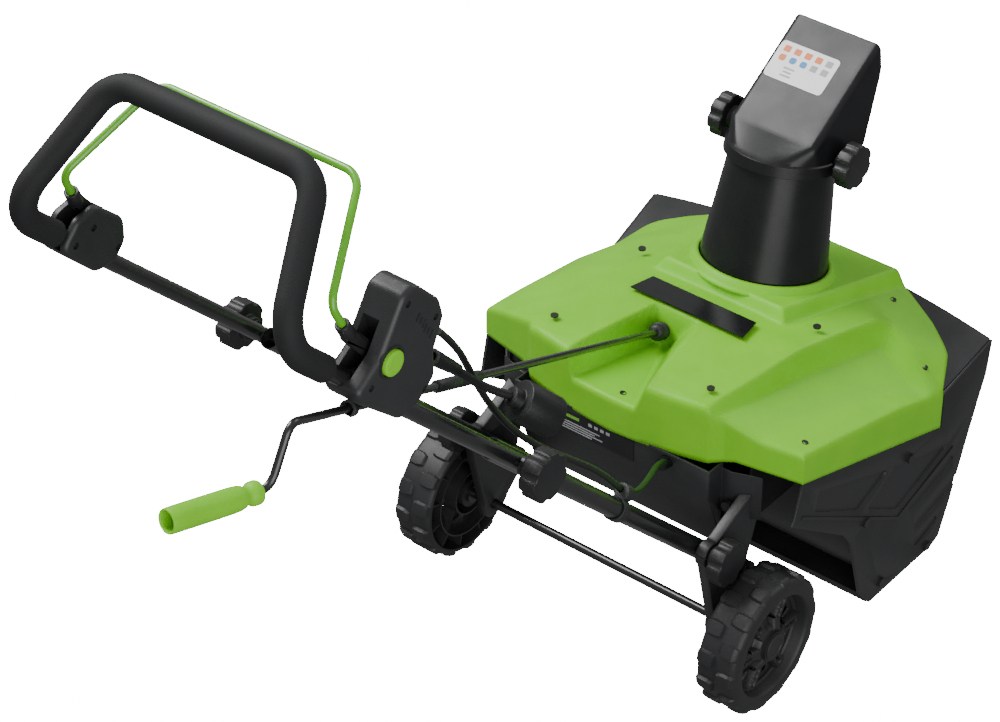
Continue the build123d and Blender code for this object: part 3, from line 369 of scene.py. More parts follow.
def foamRubber(name, colour, cellMm, roughness):
    # closed cell foam or soft rubber: dull, with small open cells at the skin
    material, tree, shader, place = startMaterial(name)
    cells = addNode(
        tree, "ShaderNodeTexVoronoi", inputs={"Scale": 1 / (cellMm * mm), "Randomness": 1.0},
        links={"Vector": (place, "Object")},
    )
    bump = addNode(
        tree, "ShaderNodeBump", inputs={"Strength": 0.4, "Distance": 0.25 * mm},
        links={"Height": (cells, "Distance")},
    )
    tree.links.new(bump.outputs["Normal"], shader.inputs["Normal"])
    shader.inputs["Base Color"].default_value = linearColour(colour)
    shader.inputs["Roughness"].default_value = roughness
    shader.inputs["IOR"].default_value = 1.5
    shader.inputs["Specular IOR Level"].default_value = 0.35
    return material


greenShell = mouldedPlastic("greenPolypropylene", "#7ccb28", "#74c320", 0.44, 0.9, 0.10, specular=0.25)
blackShell = mouldedPlastic("blackPolypropylene", "#292a2b", "#222324", 0.42, 0.8, 0.10)
glossShell = mouldedPlastic("blackHoodPlastic", "#1c1d1e", "#171819", 0.30, 0.8, 0.05, specular=0.3)
blackGrip = mouldedPlastic("blackKnobNylon", "#1f2021", "#191a1b", 0.46, 0.7, 0.12)
scraperPlastic = mouldedPlastic("scraperPolyethylene", "#2a2a2b", "#202021", 0.55, 2.0, 0.12)
tubeCoat = coatedSteel("blackPowderCoat", "#1a1b1c", 0.24)
bailCoat = coatedSteel("greenPowderCoat", "#5cae1c", 0.24)
zincSteel = platedSteel("zincPlatedSteel", "#b4b7ba", 0.34)
motorPaint = coatedSteel("motorCanPaint", "#3a3c3f", 0.4)
gripFoam = foamRubber("gripFoam", "#1b1c1d", 1.3, 0.74)
paddleRubber = foamRubber("paddleRubber", "#1a1a1a", 0.8, 0.62)
leadJacket = foamRubber("leadJacket", "#141716", 0.5, 0.42)
blackOxide = coatedSteel("blackOxideScrews", "#161616", 0.38)
pinBrass = platedSteel("pinBrass", "#c9a35a", 0.28)
whiteFilm = mouldedPlastic("whiteLabelFilm", "#e9eae8", "#e3e4e2", 0.34, 0.6, 0.02)
greenInk = mouldedPlastic("greenInk", "#6fae35", "#69a832", 0.45, 0.6, 0.01)
greyInk = mouldedPlastic("greyInk", "#9da0a2", "#979a9c", 0.45, 0.6, 0.01)
orangeInk = mouldedPlastic("orangeInk", "#e0702a", "#d96a26", 0.45, 0.6, 0.01)
blueInk = mouldedPlastic("blueInk", "#2f7fc0", "#2a78b8", 0.45, 0.6, 0.01)
greyFilm = mouldedPlastic("greyLabelFilm", "#8f9294", "#888b8d", 0.38, 0.6, 0.02)
badgeGloss = mouldedPlastic("badgeGlossPlastic", "#1a1b1c", "#151617", 0.16, 0.6, 0.01)

cadMaterials = {
    "green_plastic": greenShell,
    "black_plastic": blackShell,
    "scraper_plastic": scraperPlastic,
    "tube_coat": tubeCoat,
    "green_coat": bailCoat,
    "foam": gripFoam,
    "zinc": zincSteel,
    "black_oxide": blackOxide,
    "rotor_paint": motorPaint,
    "motor_steel": motorPaint,
    "paddle_rubber": paddleRubber,
    "cord_rubber": leadJacket,
    "pin_brass": pinBrass,
    "label_white": whiteFilm,
    "label_grey": greyFilm,
    "badge": badgeGloss,
}
for nodeName, node in nodes.items():
    node.data.materials.clear()
    node.data.materials.append(glossShell if nodeName == "chute_cone" else cadMaterials[slotOf[nodeName]])
print("materials made")


# the free supply lead and its plug

leadSet = {
    "points": [
        (170, -768, 779), (170, -741, 751.5), (175, -716.5, 723.2), (183.1, -700, 707.1),
        (195.2, -682.5, 694.8),
    ],
    "diameter": 9.5,
    "length": 125.3,
}


def routeCurve(name, points, diameter):
    # a smooth spline with the route's own points as its controls
    data = bpy.data.curves.new(name, "CURVE")
    data.dimensions = "3D"
    data.bevel_depth = diameter * mm / 2
    data.bevel_resolution = 6
    data.resolution_u = 10
    data.use_fill_caps = True
    spline = data.splines.new("NURBS")
    spline.points.add(len(points) - 1)
    for point, place in zip(spline.points, points):
        point.co = (*[v * mm for v in place], 1)
    spline.order_u = 3
    spline.use_endpoint_u = True
    piece = bpy.data.objects.new(name, data)
    bpy.context.scene.collection.objects.link(piece)
    return piece


supplyLead = routeCurve("supplyLead", leadSet["points"], leadSet["diameter"])
finishPiece(supplyLead, leadJacket, "handle", ["supply_lead"])
supplyPlug = softened("supply_plug", 1.8, 3)


# the green top cover

coverSet = {
    "halfWidth": 252.74,      # side face at y = 0, inside the slanted panels
    "toeIn": 0.06,
    "rearCentre": -247.0,
    "bulgeCorner": (148, -231),
    "wingStart": (161.5, -218),
    "wingEnd": (262, -185),
    "frontY": 201,
    "frontArc": ((135, 201), (190, 181), (232, 150), (262, 100)),
    "ridgeLine": ((-250, 376), (-228, 380.5), (-205, 381.5), (-94, 376), (-56, 373), (-5, 364), (60, 351),
                  (157, 331), (201, 321)),
    "sideTop": ((-190, 331), (-179, 330), (12, 291), (106, 262), (201, 262)),
    "lowerEdge": ((-185, 288.6), (103, 209.6), (106, 262)),
    "edgeRound": 6.5,
    "seatDepth": 10.0,        # how far the chute's seat lies below the top of its collar
    "holeRadius": 82.5,
    "collar": ((81.8, -14), (82.4, -2.5), (83.6, -1.2), (87, -1.0), (89, -2.2), (91.5, -8), (94.5, -11.5),
               (97, -13.5)),
    "wall": 2.6,
}
chuteSet = {"foot": np.array([0, 72, 375.0]), "lean": math.radians(11.66)}
chuteAxis = np.array([0, math.sin(chuteSet["lean"]), math.cos(chuteSet["lean"])])


def through(pairs, value):
    # a smooth-ended broken line through (position, height) pairs
    line = np.array(pairs, float)
    return np.interp(value, line[:, 0], line[:, 1])


def softMax(a, b, radius):
    # the higher of two surfaces, rounded where they meet
    h = np.clip(0.5 + 0.5 * (a - b) / radius, 0, 1)
    return b * (1 - h) + a * h + radius * h * (1 - h)


def softMin(a, b, radius):
    return -softMax(-a, -b, radius)


def sideX(y):
    return coverSet["halfWidth"] + coverSet["toeIn"] * y


def rearY(x):
    a = np.abs(x)
    bulge = coverSet["rearCentre"] + (coverSet["bulgeCorner"][1] - coverSet["rearCentre"]) * (a / 148) ** 2
    return np.where(
        a <= 148, bulge,
        np.interp(a, [148, 161.5, 262], [-231, -218, -185]),
    )


def frontEdgeY(x):
    a = np.abs(x)
    arc = np.array(coverSet["frontArc"], float)
    return np.where(a <= arc[0, 0], coverSet["frontY"], np.interp(a, arc[:, 0], arc[:, 1]))


def coverTop(x, y):
    # height of the cover: ridge line less its crown, shoulders, right pocket, crank channel, chute seat
    a = np.abs(x)
    ridge = through(coverSet["ridgeLine"], y) - 2.5 * (a / 130) ** 2
    side = through(coverSet["sideTop"], y)
    edge = sideX(y)
    fall = 0.36 * np.logaddexp(0, (a - 128) / 5) * 5
    shoulder = softMin(ridge - fall, side + 0.80 * (edge - a), 8)
    crest = through(((-226, 128), (-152, 137), (-57, 144), (37, 155), (105, 163)), y)
    floor = 360 - 0.47 * (x - 151) - 0.142 * (y + 218)
    floor = softMax(floor, side + 0.15 * (edge - a), 3)
    floor = softMin(floor, side + 0.75 * (edge - a) + 1.5, 3)
    dropped = floor + (ridge - floor) * (1 - smooth(-1, 13, x - crest))
    pocket = np.where(x > 60, 1.0, 0.0) * (1 - smooth(78, 122, y + 0.25 * (x - 165)))
    top = shoulder + (dropped - shoulder) * pocket
    # crank channel, open at the rear
    leftWall = 1 - smooth(0, 9, x - (-70 + 0.17 * (y + 245)))
    floorRight = 34 - 0.42 * (y + 245)
    topRight = 52 - 0.17 * (y + 245)
    rightWall = np.clip((x - floorRight) / np.maximum(topRight - floorRight, 6), 0, 1)
    rightWall = smooth(-0.04, 1.04, rightWall)
    endWall = smooth(-110, -92, y)
    rise = np.maximum(np.maximum(leftWall, rightWall), endWall)
    channel = 338 - 0.10 * (y + 228)
    top = np.where(rise < 1, channel + (top - channel) * rise, top)
    # raised seat of the chute
    seat = chuteSet["foot"][2] - coverSet["seatDepth"] / chuteAxis[2] - (y - 72) * chuteAxis[1] / chuteAxis[2]
    inside = np.minimum(y + 27, (100 + 0.145 * (y + 20)) - a)
    lift = smooth(-2, 15, inside)
    return np.where(lift > 0, top + (np.maximum(seat, top) - top) * lift, top)


def denseEnds(count, length, ends, fine):
    # parameters from 0 to 1, close together near both ends
    near = np.linspace(0, ends, int(ends / fine) + 1)
    far = np.linspace(ends, length - ends, count)
    return np.concatenate([near[:-1], far, length - near[::-1][1:]]) / length


def makeCover():
    s = denseEnds(186, 524, 14, 1.4) * 2 - 1
    t = denseEnds(160, 440, 14, 1.4)
    gs, gt = np.meshgrid(s, t)
    y = rearY(gs * 262) * (1 - gt) + frontEdgeY(gs * 262) * gt
    x = gs * sideX(y)
    z = coverTop(x, y)
    # round the outer edge, not along the front where the cover lies on the strip
    radius = coverSet["edgeRound"]
    nearSide = (1 - np.abs(gs)) * sideX(y)
    nearRear = (y - rearY(gs * 262)) * 0.97
    away = np.minimum(nearSide, nearRear)
    dip = np.clip(radius - away, 0, radius)
    z = z - (radius - np.sqrt(np.maximum(radius ** 2 - dip ** 2, 0))) * 0.9
    nearFront = np.where(gt > 0.6, (1 - gt) * 440, 99)
    z = np.where(nearFront < 6, np.minimum(z, z - (6 - nearFront) * 0.4), z)
    rows, columns = x.shape
    top = np.stack([x, y, z], -1).reshape(-1, 3)
    faces = gridFaces(rows, columns)
    # a round hole where the chute stands
    centre = top[faces].mean(1)
    offset = centre - chuteSet["foot"]
    along = offset @ chuteAxis
    away = np.linalg.norm(offset - along[:, None] * chuteAxis, axis=1)
    faces = faces[away > coverSet["holeRadius"]]
    # skirt walls down from the border
    index = np.arange(rows * columns).reshape(rows, columns)
    border = np.concatenate([index[0, :], index[1:, -1], index[-1, -2::-1], index[-2:0:-1, 0]])
    bx, by, bz = top[border].T
    onFront = (by > 100.5)
    low = np.where(
        by < -185.5,
        np.interp(np.abs(bx), [0, 148, 161.5, 242], [290, 297, 300.5, 288.6]),
        through(coverSet["lowerEdge"], by),
    )
    front = 262 + 0.3125 * (by - 105) + 30 * (1 - (bx / 265) ** 2) - 1
    low = np.where(onFront, np.minimum(front, bz - 0.5), low)
    low = np.minimum(low, bz - 0.5)
    rings = 10
    down = np.linspace(0, 1, rings + 1)[1:]
    points = [top]
    walls = []
    previous = border
    count = len(top)
    for part in down:
        ring = np.stack([bx, by, bz + (low - bz) * part], -1)
        points.append(ring)
        current = count + np.arange(len(border))
        walls.append(np.stack([previous, current, np.roll(current, -1), np.roll(previous, -1)], -1))
        previous = current
        count += len(border)
    # the collar round the chute's foot: a ring turned about the chute's axis
    profile = np.array(coverSet["collar"])
    turns = 96
    angle = np.linspace(0, 2 * np.pi, turns, endpoint=False)
    sideways = np.array([1.0, 0, 0])
    forward = np.cross(chuteAxis, sideways)
    spoke = np.cos(angle)[None, :, None] * sideways + np.sin(angle)[None, :, None] * forward
    ring = chuteSet["foot"] + profile[:, None, 1:2] * chuteAxis + profile[:, None, 0:1] * spoke
    ringFaces = gridFaces(len(profile), turns, closedColumns=True)[:, ::-1] + count
    points.append(ring.reshape(-1, 3))
    allPoints = np.concatenate(points) * mm
    allFaces = np.concatenate([faces, np.concatenate(walls), ringFaces])
    piece = objectFrom("coverShell", allPoints, allFaces)
    thick = piece.modifiers.new("wall", "SOLIDIFY")
    thick.thickness = coverSet["wall"] * mm
    thick.offset = -1
    return finishPiece(piece, greenShell, "hull", ["top_cover"])


makeCover()
print("cover made")

# small dark screws sunk in the cover, as (x, y)
coverScrews = [(141.8, 157), (-141.8, 157), (225, -160), (227, 103), (6, -228)]


def makeScrews():
    parts = []
    for x, y in coverScrews:
        z = float(coverTop(np.array(float(x)), np.array(float(y))))
        profile = [(-3.0, 0.01), (-3.0, 4.2), (0.9, 4.2), (0.9, 3.3), (0.1, 3.0), (0.1, 0.01)]
        parts.append(turnedPart((x, y, z), (0.15 * np.sign(x), 0.1, 1), profile, 32))
    return finishPiece(joinParts("coverScrews", parts), blackOxide, "hull")


makeScrews()


# wheels: a lugged tyre, a dished web with six windows, ribs and rings inside
wheelSet = {
    "axle": (-255.0, 93.0),
    "lugs": 14,
    "lugHeight": 3.9,
    "lugHalf": 9.0,
    "rows": ((209.5, 234.0, 0.0), (238.5, 266.0, 0.5)),
    "window": (44.0, 10.5, 12.5),
    "spokeHalf": 7.0,
    "webThick": 3.0,
}
tyreProfile = [
    (262.4, 68.4), (263.6, 69.4), (264.2, 71.5), (264.2, 78), (263.4, 83), (261.2, 86.6), (257, 88.5),
    (250, 88.8), (236, 88.8), (222, 88.8), (214.5, 88.6), (210.6, 87), (208.6, 84.4), (208, 82),
    (208.8, 80.2), (213, 79.6), (242, 78.4), (245.4, 75), (246, 70), (246.6, 66), (247.6, 63.6),
    (250.5, 64.4), (260.8, 67.4),
]


def resampled(profile, count, closed=True):
    # a profile's points spread evenly along its length
    line = np.array(profile + profile[:1] if closed else profile, float)
    length = np.concatenate([[0], np.cumsum(np.linalg.norm(np.diff(line, axis=0), axis=1))])
    place = np.linspace(0, length[-1], count, endpoint=not closed)
    return np.column_stack([np.interp(place, length, line[:, k]) for k in (0, 1)])


def aroundAxle(x, radius, angle):
    y, z = wheelSet["axle"]
    return np.stack([x, y + radius * np.cos(angle), z + radius * np.sin(angle)], -1).reshape(-1, 3)


def tyrePart():
    line = resampled(tyreProfile, 110)
    turns = 560
    angle = np.linspace(0, 2 * np.pi, turns, endpoint=False)
    x, turn = np.meshgrid(line[:, 0], angle, indexing="ij")
    radius = np.repeat(line[:, 1:2], turns, axis=1)
    outward = smooth(79.5, 83, radius)
    height = np.zeros_like(x)
    for low, high, phase in wheelSet["rows"]:
        pitch = 2 * np.pi / wheelSet["lugs"]
        away = np.abs((turn / pitch + phase) % 1 - 0.5) * pitch * 90
        taper = 0.32 * np.clip(np.abs(x - (low + high) / 2) - 6, 0, None)
        across = np.clip((wheelSet["lugHalf"] - taper - away) / 1.1 + 0.5, 0, 1)
        along = np.clip((x - low) / 1.1, 0, 1) * np.clip((high - x) / 1.1, 0, 1)
        height = np.maximum(height, across * along)
    lift = height * outward * wheelSet["lugHeight"]
    inner = smooth(212, 208, x) * 0.6
    x = np.clip(x - inner * lift, 208, 264.25)
    points = aroundAxle(x, radius + lift * (1 - 0.55 * smooth(256, 264, x)), turn)
    return points, gridFaces(*x.shape, True, True)


def webPart():
    # the dished web's face, its spokes and slots, less its windows; a back sheet follows behind
    radius = np.concatenate([np.linspace(19.5, 26, 8), np.linspace(27, 66.5, 62)])
    angle = np.linspace(0, 2 * np.pi, 432, endpoint=False)
    r, turn = np.meshgrid(radius, angle, indexing="ij")
    floor = 243 + 5 * smooth(60, 66.5, r) + 4 * smooth(34, 22, r)
    step = np.pi / 3
    sideways = r * np.sin((turn / step % 1 - 0.5) * step)
    fromSpoke = r * np.sin(((turn / step + 0.5) % 1 - 0.5) * step)
    spoke = smooth(wheelSet["spokeHalf"] + 1.2, wheelSet["spokeHalf"] - 1.2, np.abs(fromSpoke))
    slot = smooth(3.6, 2.4, np.abs(fromSpoke)) * smooth(33, 35, r) * smooth(60, 58, r)
    lift = 9 * spoke * smooth(68, 60, r) * (1 - 0.6 * slot)
    pedestal = 8 * smooth(27, 22, r)
    x = floor + np.maximum(lift, pedestal)
    face = aroundAxle(x, r, turn)
    middle, halfRadial, halfSide = wheelSet["window"]
    faces = gridFaces(*r.shape, closedColumns=True)
    centreR = r.reshape(-1)[faces].mean(1)
    centreSide = sideways.reshape(-1)[faces].mean(1)
    hole = (np.abs(centreR - middle) < halfRadial) & (np.abs(centreSide) < halfSide)
    return face, faces[~hole]


def wheelPieces(side, sign):
    mirror = np.array([sign, 1, 1])
    centre = (0, *wheelSet["axle"])
    outward = (1, 0, 0)
    rings = [
        [(209.5, 60.2), (209.5, 62.4), (246, 62.4), (246, 60.2), (209.5, 60.2)],
        [(209, 30), (209, 32.4), (245, 32.4), (245, 30), (209, 30)],
        [(207.8, 6.2), (207.8, 20), (262, 20), (262, 19.2), (262, 6.2), (207.8, 6.2)],
        [(258, 17.6), (263.2, 17.6), (264.2, 16.4), (264.2, 12.4), (263.4, 11.8), (263.4, 0.01)],
    ]
    parts = [turnedPart(centre, outward, ring, 96) for ring in rings]
    y, z = wheelSet["axle"]
    for count, first, r0, r1, x0, x1 in ((12, 0.26, 62, 79.5, 212, 245), (6, 0.0, 20, 61, 224, 243)):
        for turn in first + np.arange(count) * 2 * np.pi / count:
            out = (0, np.cos(turn), np.sin(turn))
            middle = (r0 + r1) / 2
            place = ((x0 + x1) / 2, y + middle * out[1], z + middle * out[2])
            parts.append(boxPart(place, (outward, out, np.cross(outward, out)), (x1 - x0, r1 - r0, 2.0)))
    parts.append(tyrePart())
    node = "wheel_" + side
    core = joinParts("wheelCore" + side, [(p * mirror, f) for p, f in parts])
    finishPiece(core, tyrePlastic, bodyOf[node], [node])
    web = joinParts("wheelWeb" + side, [(p * mirror, f) for p, f in [webPart()]])
    thick = web.modifiers.new("wall", "SOLIDIFY")
    thick.thickness = wheelSet["webThick"] * mm
    thick.offset = 0
    finishPiece(web, tyrePlastic, bodyOf[node])


tyrePlastic = mouldedPlastic("tyrePolyethylene", "#262728", "#1f2021", 0.50, 0.9, 0.12)
wheelPieces("right", 1)
wheelPieces("left", -1)
print("wheels made")


# the deflector hood: a U section along its sloping back, a skirt round the cone's top behind
hoodSet = {
    "slope": 0.63,
    "backAt": (100.0, 573.0),
    "half": 62.0,
    "lean": 10 / 44,
    "round": 7.0,
    "lower": ((76, 549), (91, 520), (111, 508), (162, 528), (206, 608), (209.2, 636)),
    "rear": 76.0,
    "front": 209.2,
    "ringHeight": 155.0,
    "ringRadius": 74.0,
    "wall": 3.0,
}


def hoodSection(y, depth):
    # one U section, left leg up, across the back, right leg down, as (x, z)
    tilt = math.atan(hoodSet["slope"])
    back = hoodSet["backAt"][1] + hoodSet["slope"] * (y - hoodSet["backAt"][0])
    radius = hoodSet["round"]
    turn = np.linspace(0, np.pi / 2, 9)
    half = hoodSet["half"]
    corner = np.column_stack([half - radius + radius * np.sin(turn), radius * (1 - np.cos(turn))])
    legDown = np.linspace(radius, max(depth, radius + 0.5), 14)[1:]
    leg = np.column_stack([np.full(len(legDown), half), legDown])
    top = np.column_stack([np.linspace(0, half - radius, 10)[:-1], np.zeros(9)])
    right = np.concatenate([top, corner, leg])
    right[:, 0] += right[:, 1] * math.cos(tilt) * hoodSet["lean"]
    line = np.concatenate([right[:0:-1] * [-1, 1], right])
    return np.column_stack([line[:, 0], np.full(len(line), y), back - line[:, 1]])


def makeHood():
    stations = np.linspace(hoodSet["rear"], hoodSet["front"], 46)
    low = through(hoodSet["lower"], stations)
    back = hoodSet["backAt"][1] + hoodSet["slope"] * (stations - hoodSet["backAt"][0])
    sections = [hoodSection(y, b - z) for y, b, z in zip(stations, back, low)]
    # the skirt runs from the first section to a half ring round the cone
    count = len(sections[0])
    turn = np.linspace(np.pi, 2 * np.pi, count)
    forward = np.array([0, math.cos(chuteSet["lean"]), -math.sin(chuteSet["lean"])])
    ring = np.cos(turn)[:, None] * np.array([1.0, 0, 0]) + np.sin(turn)[:, None] * forward
    upper = chuteSet["foot"] + chuteAxis * hoodSet["ringHeight"] + ring * (hoodSet["ringRadius"] - 3)
    step = chuteSet["foot"] + chuteAxis * (hoodSet["ringHeight"] - 1.5) + ring * hoodSet["ringRadius"]
    lip = chuteSet["foot"] + chuteAxis * (hoodSet["ringHeight"] - 16) + ring * (hoodSet["ringRadius"] + 1)
    first = sections[0]
    blends = [first + (upper - first) * share for share in np.linspace(0, 1, 9)[1:]]
    layers = [lip, lip + (step - lip) * 0.5, step] + blends[::-1] + sections
    points = np.concatenate(layers) * mm
    piece = objectFrom("hoodShell", points, gridFaces(len(layers), count))
    thick = piece.modifiers.new("wall", "SOLIDIFY")
    thick.thickness = hoodSet["wall"] * mm
    thick.offset = -1
    thick.use_even_offset = True
    bevelled(piece, 0.7, 2, 50)
    piece.data.set_sharp_from_angle(angle=math.radians(40))
    return finishPiece(piece, glossShell, "hood", ["deflector_hood"])


def onBack(x, y, raised):
    # a point on the hood's back, raised along its normal
    tilt = math.atan(hoodSet["slope"])
    z = hoodSet["backAt"][1] + hoodSet["slope"] * (y - hoodSet["backAt"][0])
    return np.stack([x, y - raised * math.sin(tilt), z + raised * math.cos(tilt)], -1)


def flatSheet(name, outlines, lift, material, body, replaced=()):
    # closed outlines lying on the hood's back as thin printed areas
    points = []
    faces = []
    count = 0
    for outline in outlines:
        points.append(onBack(outline[:, 0], outline[:, 1], lift))
        faces.append(list(range(count, count + len(outline))))
        count += len(outline)
    piece = objectFrom(name, np.concatenate(points) * mm, faces)
    return finishPiece(piece, material, body, replaced)


def rectangle(cx, cy, w, h, corner=1.0):
    left, right, low, high = cx - w / 2, cx + w / 2, cy - h / 2, cy + h / 2
    return roundedOutline([(left, low), (right, low), (right, high), (left, high)], corner)


labelSet = {
    "filmLift": 0.35,
    "inkLift": 0.5,
    "tile": (9.5, 7.5),
    "rows": (167, 156),
    "bars": ((146, 16), (141.5, 12), (137, 15)),
}


def hoodLabel():
    # a white film with plain coloured tiles, no signs and no words
    film = [rectangle(-14, 153, 86, 45, 6)]
    flatSheet("labelFilm", film, labelSet["filmLift"], whiteFilm, "hood", ["hood_label"])
    columns = np.linspace(-45, 17, 5)
    w, h = labelSet["tile"]
    upper, lower = labelSet["rows"]
    orange = [rectangle(x, upper, w, h, 1.5) for x in columns[:4]] + [rectangle(columns[0], lower, w, h, 3.5)]
    blue = [rectangle(x, lower, w, h, 3.5) for x in columns[1:3]]
    grey = [rectangle(columns[4], upper, w, h, 1.5)] + [rectangle(x, lower, w, h, 1.0) for x in columns[3:]]
    grey += [rectangle(-28, y, length, 2.0, 0.4) for y, length in labelSet["bars"]]
    for name, ink, outlines in (
        ("orangeTiles", orangeInk, orange), ("blueTiles", blueInk, blue), ("greyTiles", greyInk, grey),
    ):
        flatSheet(name, outlines, labelSet["inkLift"], ink, "hood")


makeHood()
hoodLabel()
print("hood made")


# the switch box and the left pod: rounded shells round the tube, hollow where the bail's lever swings
boxOutline = [
    (-866, 778), (-923, 830), (-928, 845), (-893, 868), (-858, 921), (-838, 925), (-803, 888), (-797, 866),
    (-813, 832), (-812, 802), (-838, 782),
]
podOutline = [(-950, 858), (-904, 810), (-877, 810), (-860, 828), (-860, 855), (-896, 889), (-924, 884)]
bailPin = np.array([-878.0, 856.0])


def leverRoom(name, sign):
    # the sector that the lever sweeps, as a cutter
    turn = np.radians(np.linspace(129 - 32, 129 + 50, 12))
    sector = bailPin + 75 * np.column_stack([np.cos(turn), np.sin(turn)])
    back = np.radians(np.linspace(129 + 92, 129 + 266, 10))
    heel = bailPin + 17 * np.column_stack([np.cos(back), np.sin(back)])
    low, high = sorted((sign * 170.0, sign * 190.0))
    return roundedSlab(name, np.concatenate([sector, heel]), low, high)


def cylinder(name, start, end, radius, turns=40):
    run = np.array(end, float) - np.array(start, float)
    length = float(np.linalg.norm(run))
    profile = [(0, 0.01), (0, radius), (length, radius), (length, 0.01)]
    return joinParts(name, [turnedPart(start, run, profile, turns)])


def makeControls():
    box = roundedSlab("switchBox", roundedOutline(boxOutline, 13, 9), 160, 207, 6.5, 7)
    cutters = [
        leverRoom("boxRoom", 1),
        cylinder("buttonHole", (190, *bailPin), (210, *bailPin), 14.9, 56),
        cylinder("crankPath", (188, -953, 829.6), (150, -802, 743.7), 6.4),
    ]
    for y, z in ((-852, 909), (-812, 872), (-830, 796), (-908, 842)):
        cutters.append(cylinder("screwHole", (204.4, y, z), (210, y, z), 3.6, 28))
    cutAway(box, cutters)
    box.data.set_sharp_from_angle(angle=math.radians(32))
    boxNodes = ["switch_box_inner", "switch_box_outer", "pod_screws"]
    finishPiece(box, blackShell, "handle", boxNodes)
    pod = roundedSlab("leftPod", roundedOutline(podOutline, 16, 9), -200, -162, 6.0, 7)
    cutters = [leverRoom("podRoom", -1)]
    for y, z in ((-904, 866), (-873, 826), (-930, 858)):
        cutters.append(cylinder("podHole", (-165.5, y, z), (-158, y, z), 3.8, 28))
    cutAway(pod, cutters)
    pod.data.set_sharp_from_angle(angle=math.radians(32))
    finishPiece(pod, blackShell, "handle", ["pivot_pod_inner", "pivot_pod_outer"])
    # a ring round the button, a raised rib and plain marks on the box's face
    ringProfile = [(-3, 15.0), (0.8, 15.0), (1.4, 15.6), (1.0, 17.6), (-2, 18.2)]
    marks = [turnedPart((207, *bailPin), (1, 0, 0), ringProfile, 64)]
    markAxes = ((1, 0, 0), (0, 0.58, 0.815), (0, -0.815, 0.58))
    for row, (y0, z0) in enumerate(((-838, 886), (-826, 868))):
        for column in range(3):
            place = (207.0, y0 + column * 4.2 - row * 1.5, z0 - column * 6.0)
            marks.append(boxPart(place, markAxes, (0.8, 9 - 2 * (column % 2), 2.2)))
    finishPiece(joinParts("boxMarks", marks), blackGrip, "handle")
    pinProfile = [(0, 0.01), (0, 3), (15, 3), (15, 0.01)]
    pins = [turnedPart((sign * 170, *bailPin), (sign, 0, 0), pinProfile, 24) for sign in (1, -1)]
    finishPiece(joinParts("leverPins", pins), blackGrip, "handle")
    finishPiece(roundButton(), greenShell, "button", ["lock_button"])
    softened("bail_levers", 0.8, material=blackGrip)


def roundButton():
    profile = [
        (0, 0.01), (0, 14.0), (12.6, 14.0), (13.8, 13.6), (14.6, 12.6), (15, 11), (15, 7), (14.8, 0.01),
    ]
    return joinParts("lockButton", [turnedPart((197, *bailPin), (1, 0, 0), profile, 72)])


makeControls()
print("controls made")


# knobs, brackets and smaller mouldings keep their CAD shape and gain rounded edges
softWidths = {
    "fold_knob_left": 1.8, "fold_knob_right": 1.8, "clamp_knob_left": 1.8, "clamp_knob_right": 1.8,
    "tilt_knob_left": 1.8, "tilt_knob_right": 1.8, "axle_brackets": 1.6, "crank_hook": 0.7, "cable_clip": 0.7,
    "front_visor": 0.8, "scraper_bar": 0.8, "rear_skirt": 1.0, "supply_relief": 0.5,
}
for nodeName, width in softWidths.items():
    softened(nodeName, width, 3, blackGrip if "knob" in nodeName else None)


def knobFaces():
    # a sunken ring and a boss on each hand knob's face
    faces = {
        "fold_knob": (226, -652, 582), "clamp_knob": (215, -285, 215), "tilt_knob": (104, 111, 528),
    }
    profile = [
        (-2, 19.5), (0.4, 19.0), (0.6, 18.2), (-0.2, 17.4), (-0.2, 12), (0.7, 11.4), (0.9, 10.4), (0.9, 0.01),
    ]
    for name, (x, y, z) in faces.items():
        for side, sign in (("right", 1), ("left", -1)):
            part = turnedPart((sign * (x - 1.0), y, z), (sign, 0, 0), profile, 56)
            node = name + "_" + side
            finishPiece(joinParts(name + side + "Face", [part]), blackGrip, bodyOf[node])


knobFaces()
print("soft edges made")


# side panels: recessed fields between a border, a diagonal rib and a ledge, and one groove
panelSet = {
    "plane": 252.94,
    "toe": 0.06,
    "fields": [
        [(-150, 256), (-156, 229), (-64, 177), (-5, 206)],
        [(8, 201), (-46, 167), (22, 126), (124, 171), (96, 176)],
    ],
    "grooves": [((68, 40), (112, 58))],
    "ledge": [(-182, 236), (-54, 157), (22, 112), (134, 160)],
    "depth": 2.4,
    "grooveWidth": 10,
    "grooveDepth": 1.6,
    "bead": 3.4,
}


def sheared(piece, sign):
    # moves a plate built at x = 0 onto the slanted side plane
    points = np.array([v.co for v in piece.data.vertices])
    points[:, 0] = sign * (points[:, 0] + panelSet["plane"] * mm + panelSet["toe"] * points[:, 1])
    piece.data.vertices.foreach_set("co", points.reshape(-1))
    facingOut(piece)
    return piece


def beadOutline(line, width):
    # a strip of the given width along an open line
    path = np.array(line, float)
    ahead = np.gradient(path, axis=0)
    ahead /= np.linalg.norm(ahead, axis=1)[:, None]
    side = np.column_stack([-ahead[:, 1], ahead[:, 0]]) * width / 2
    return np.concatenate([path + side, (path - side)[::-1]])


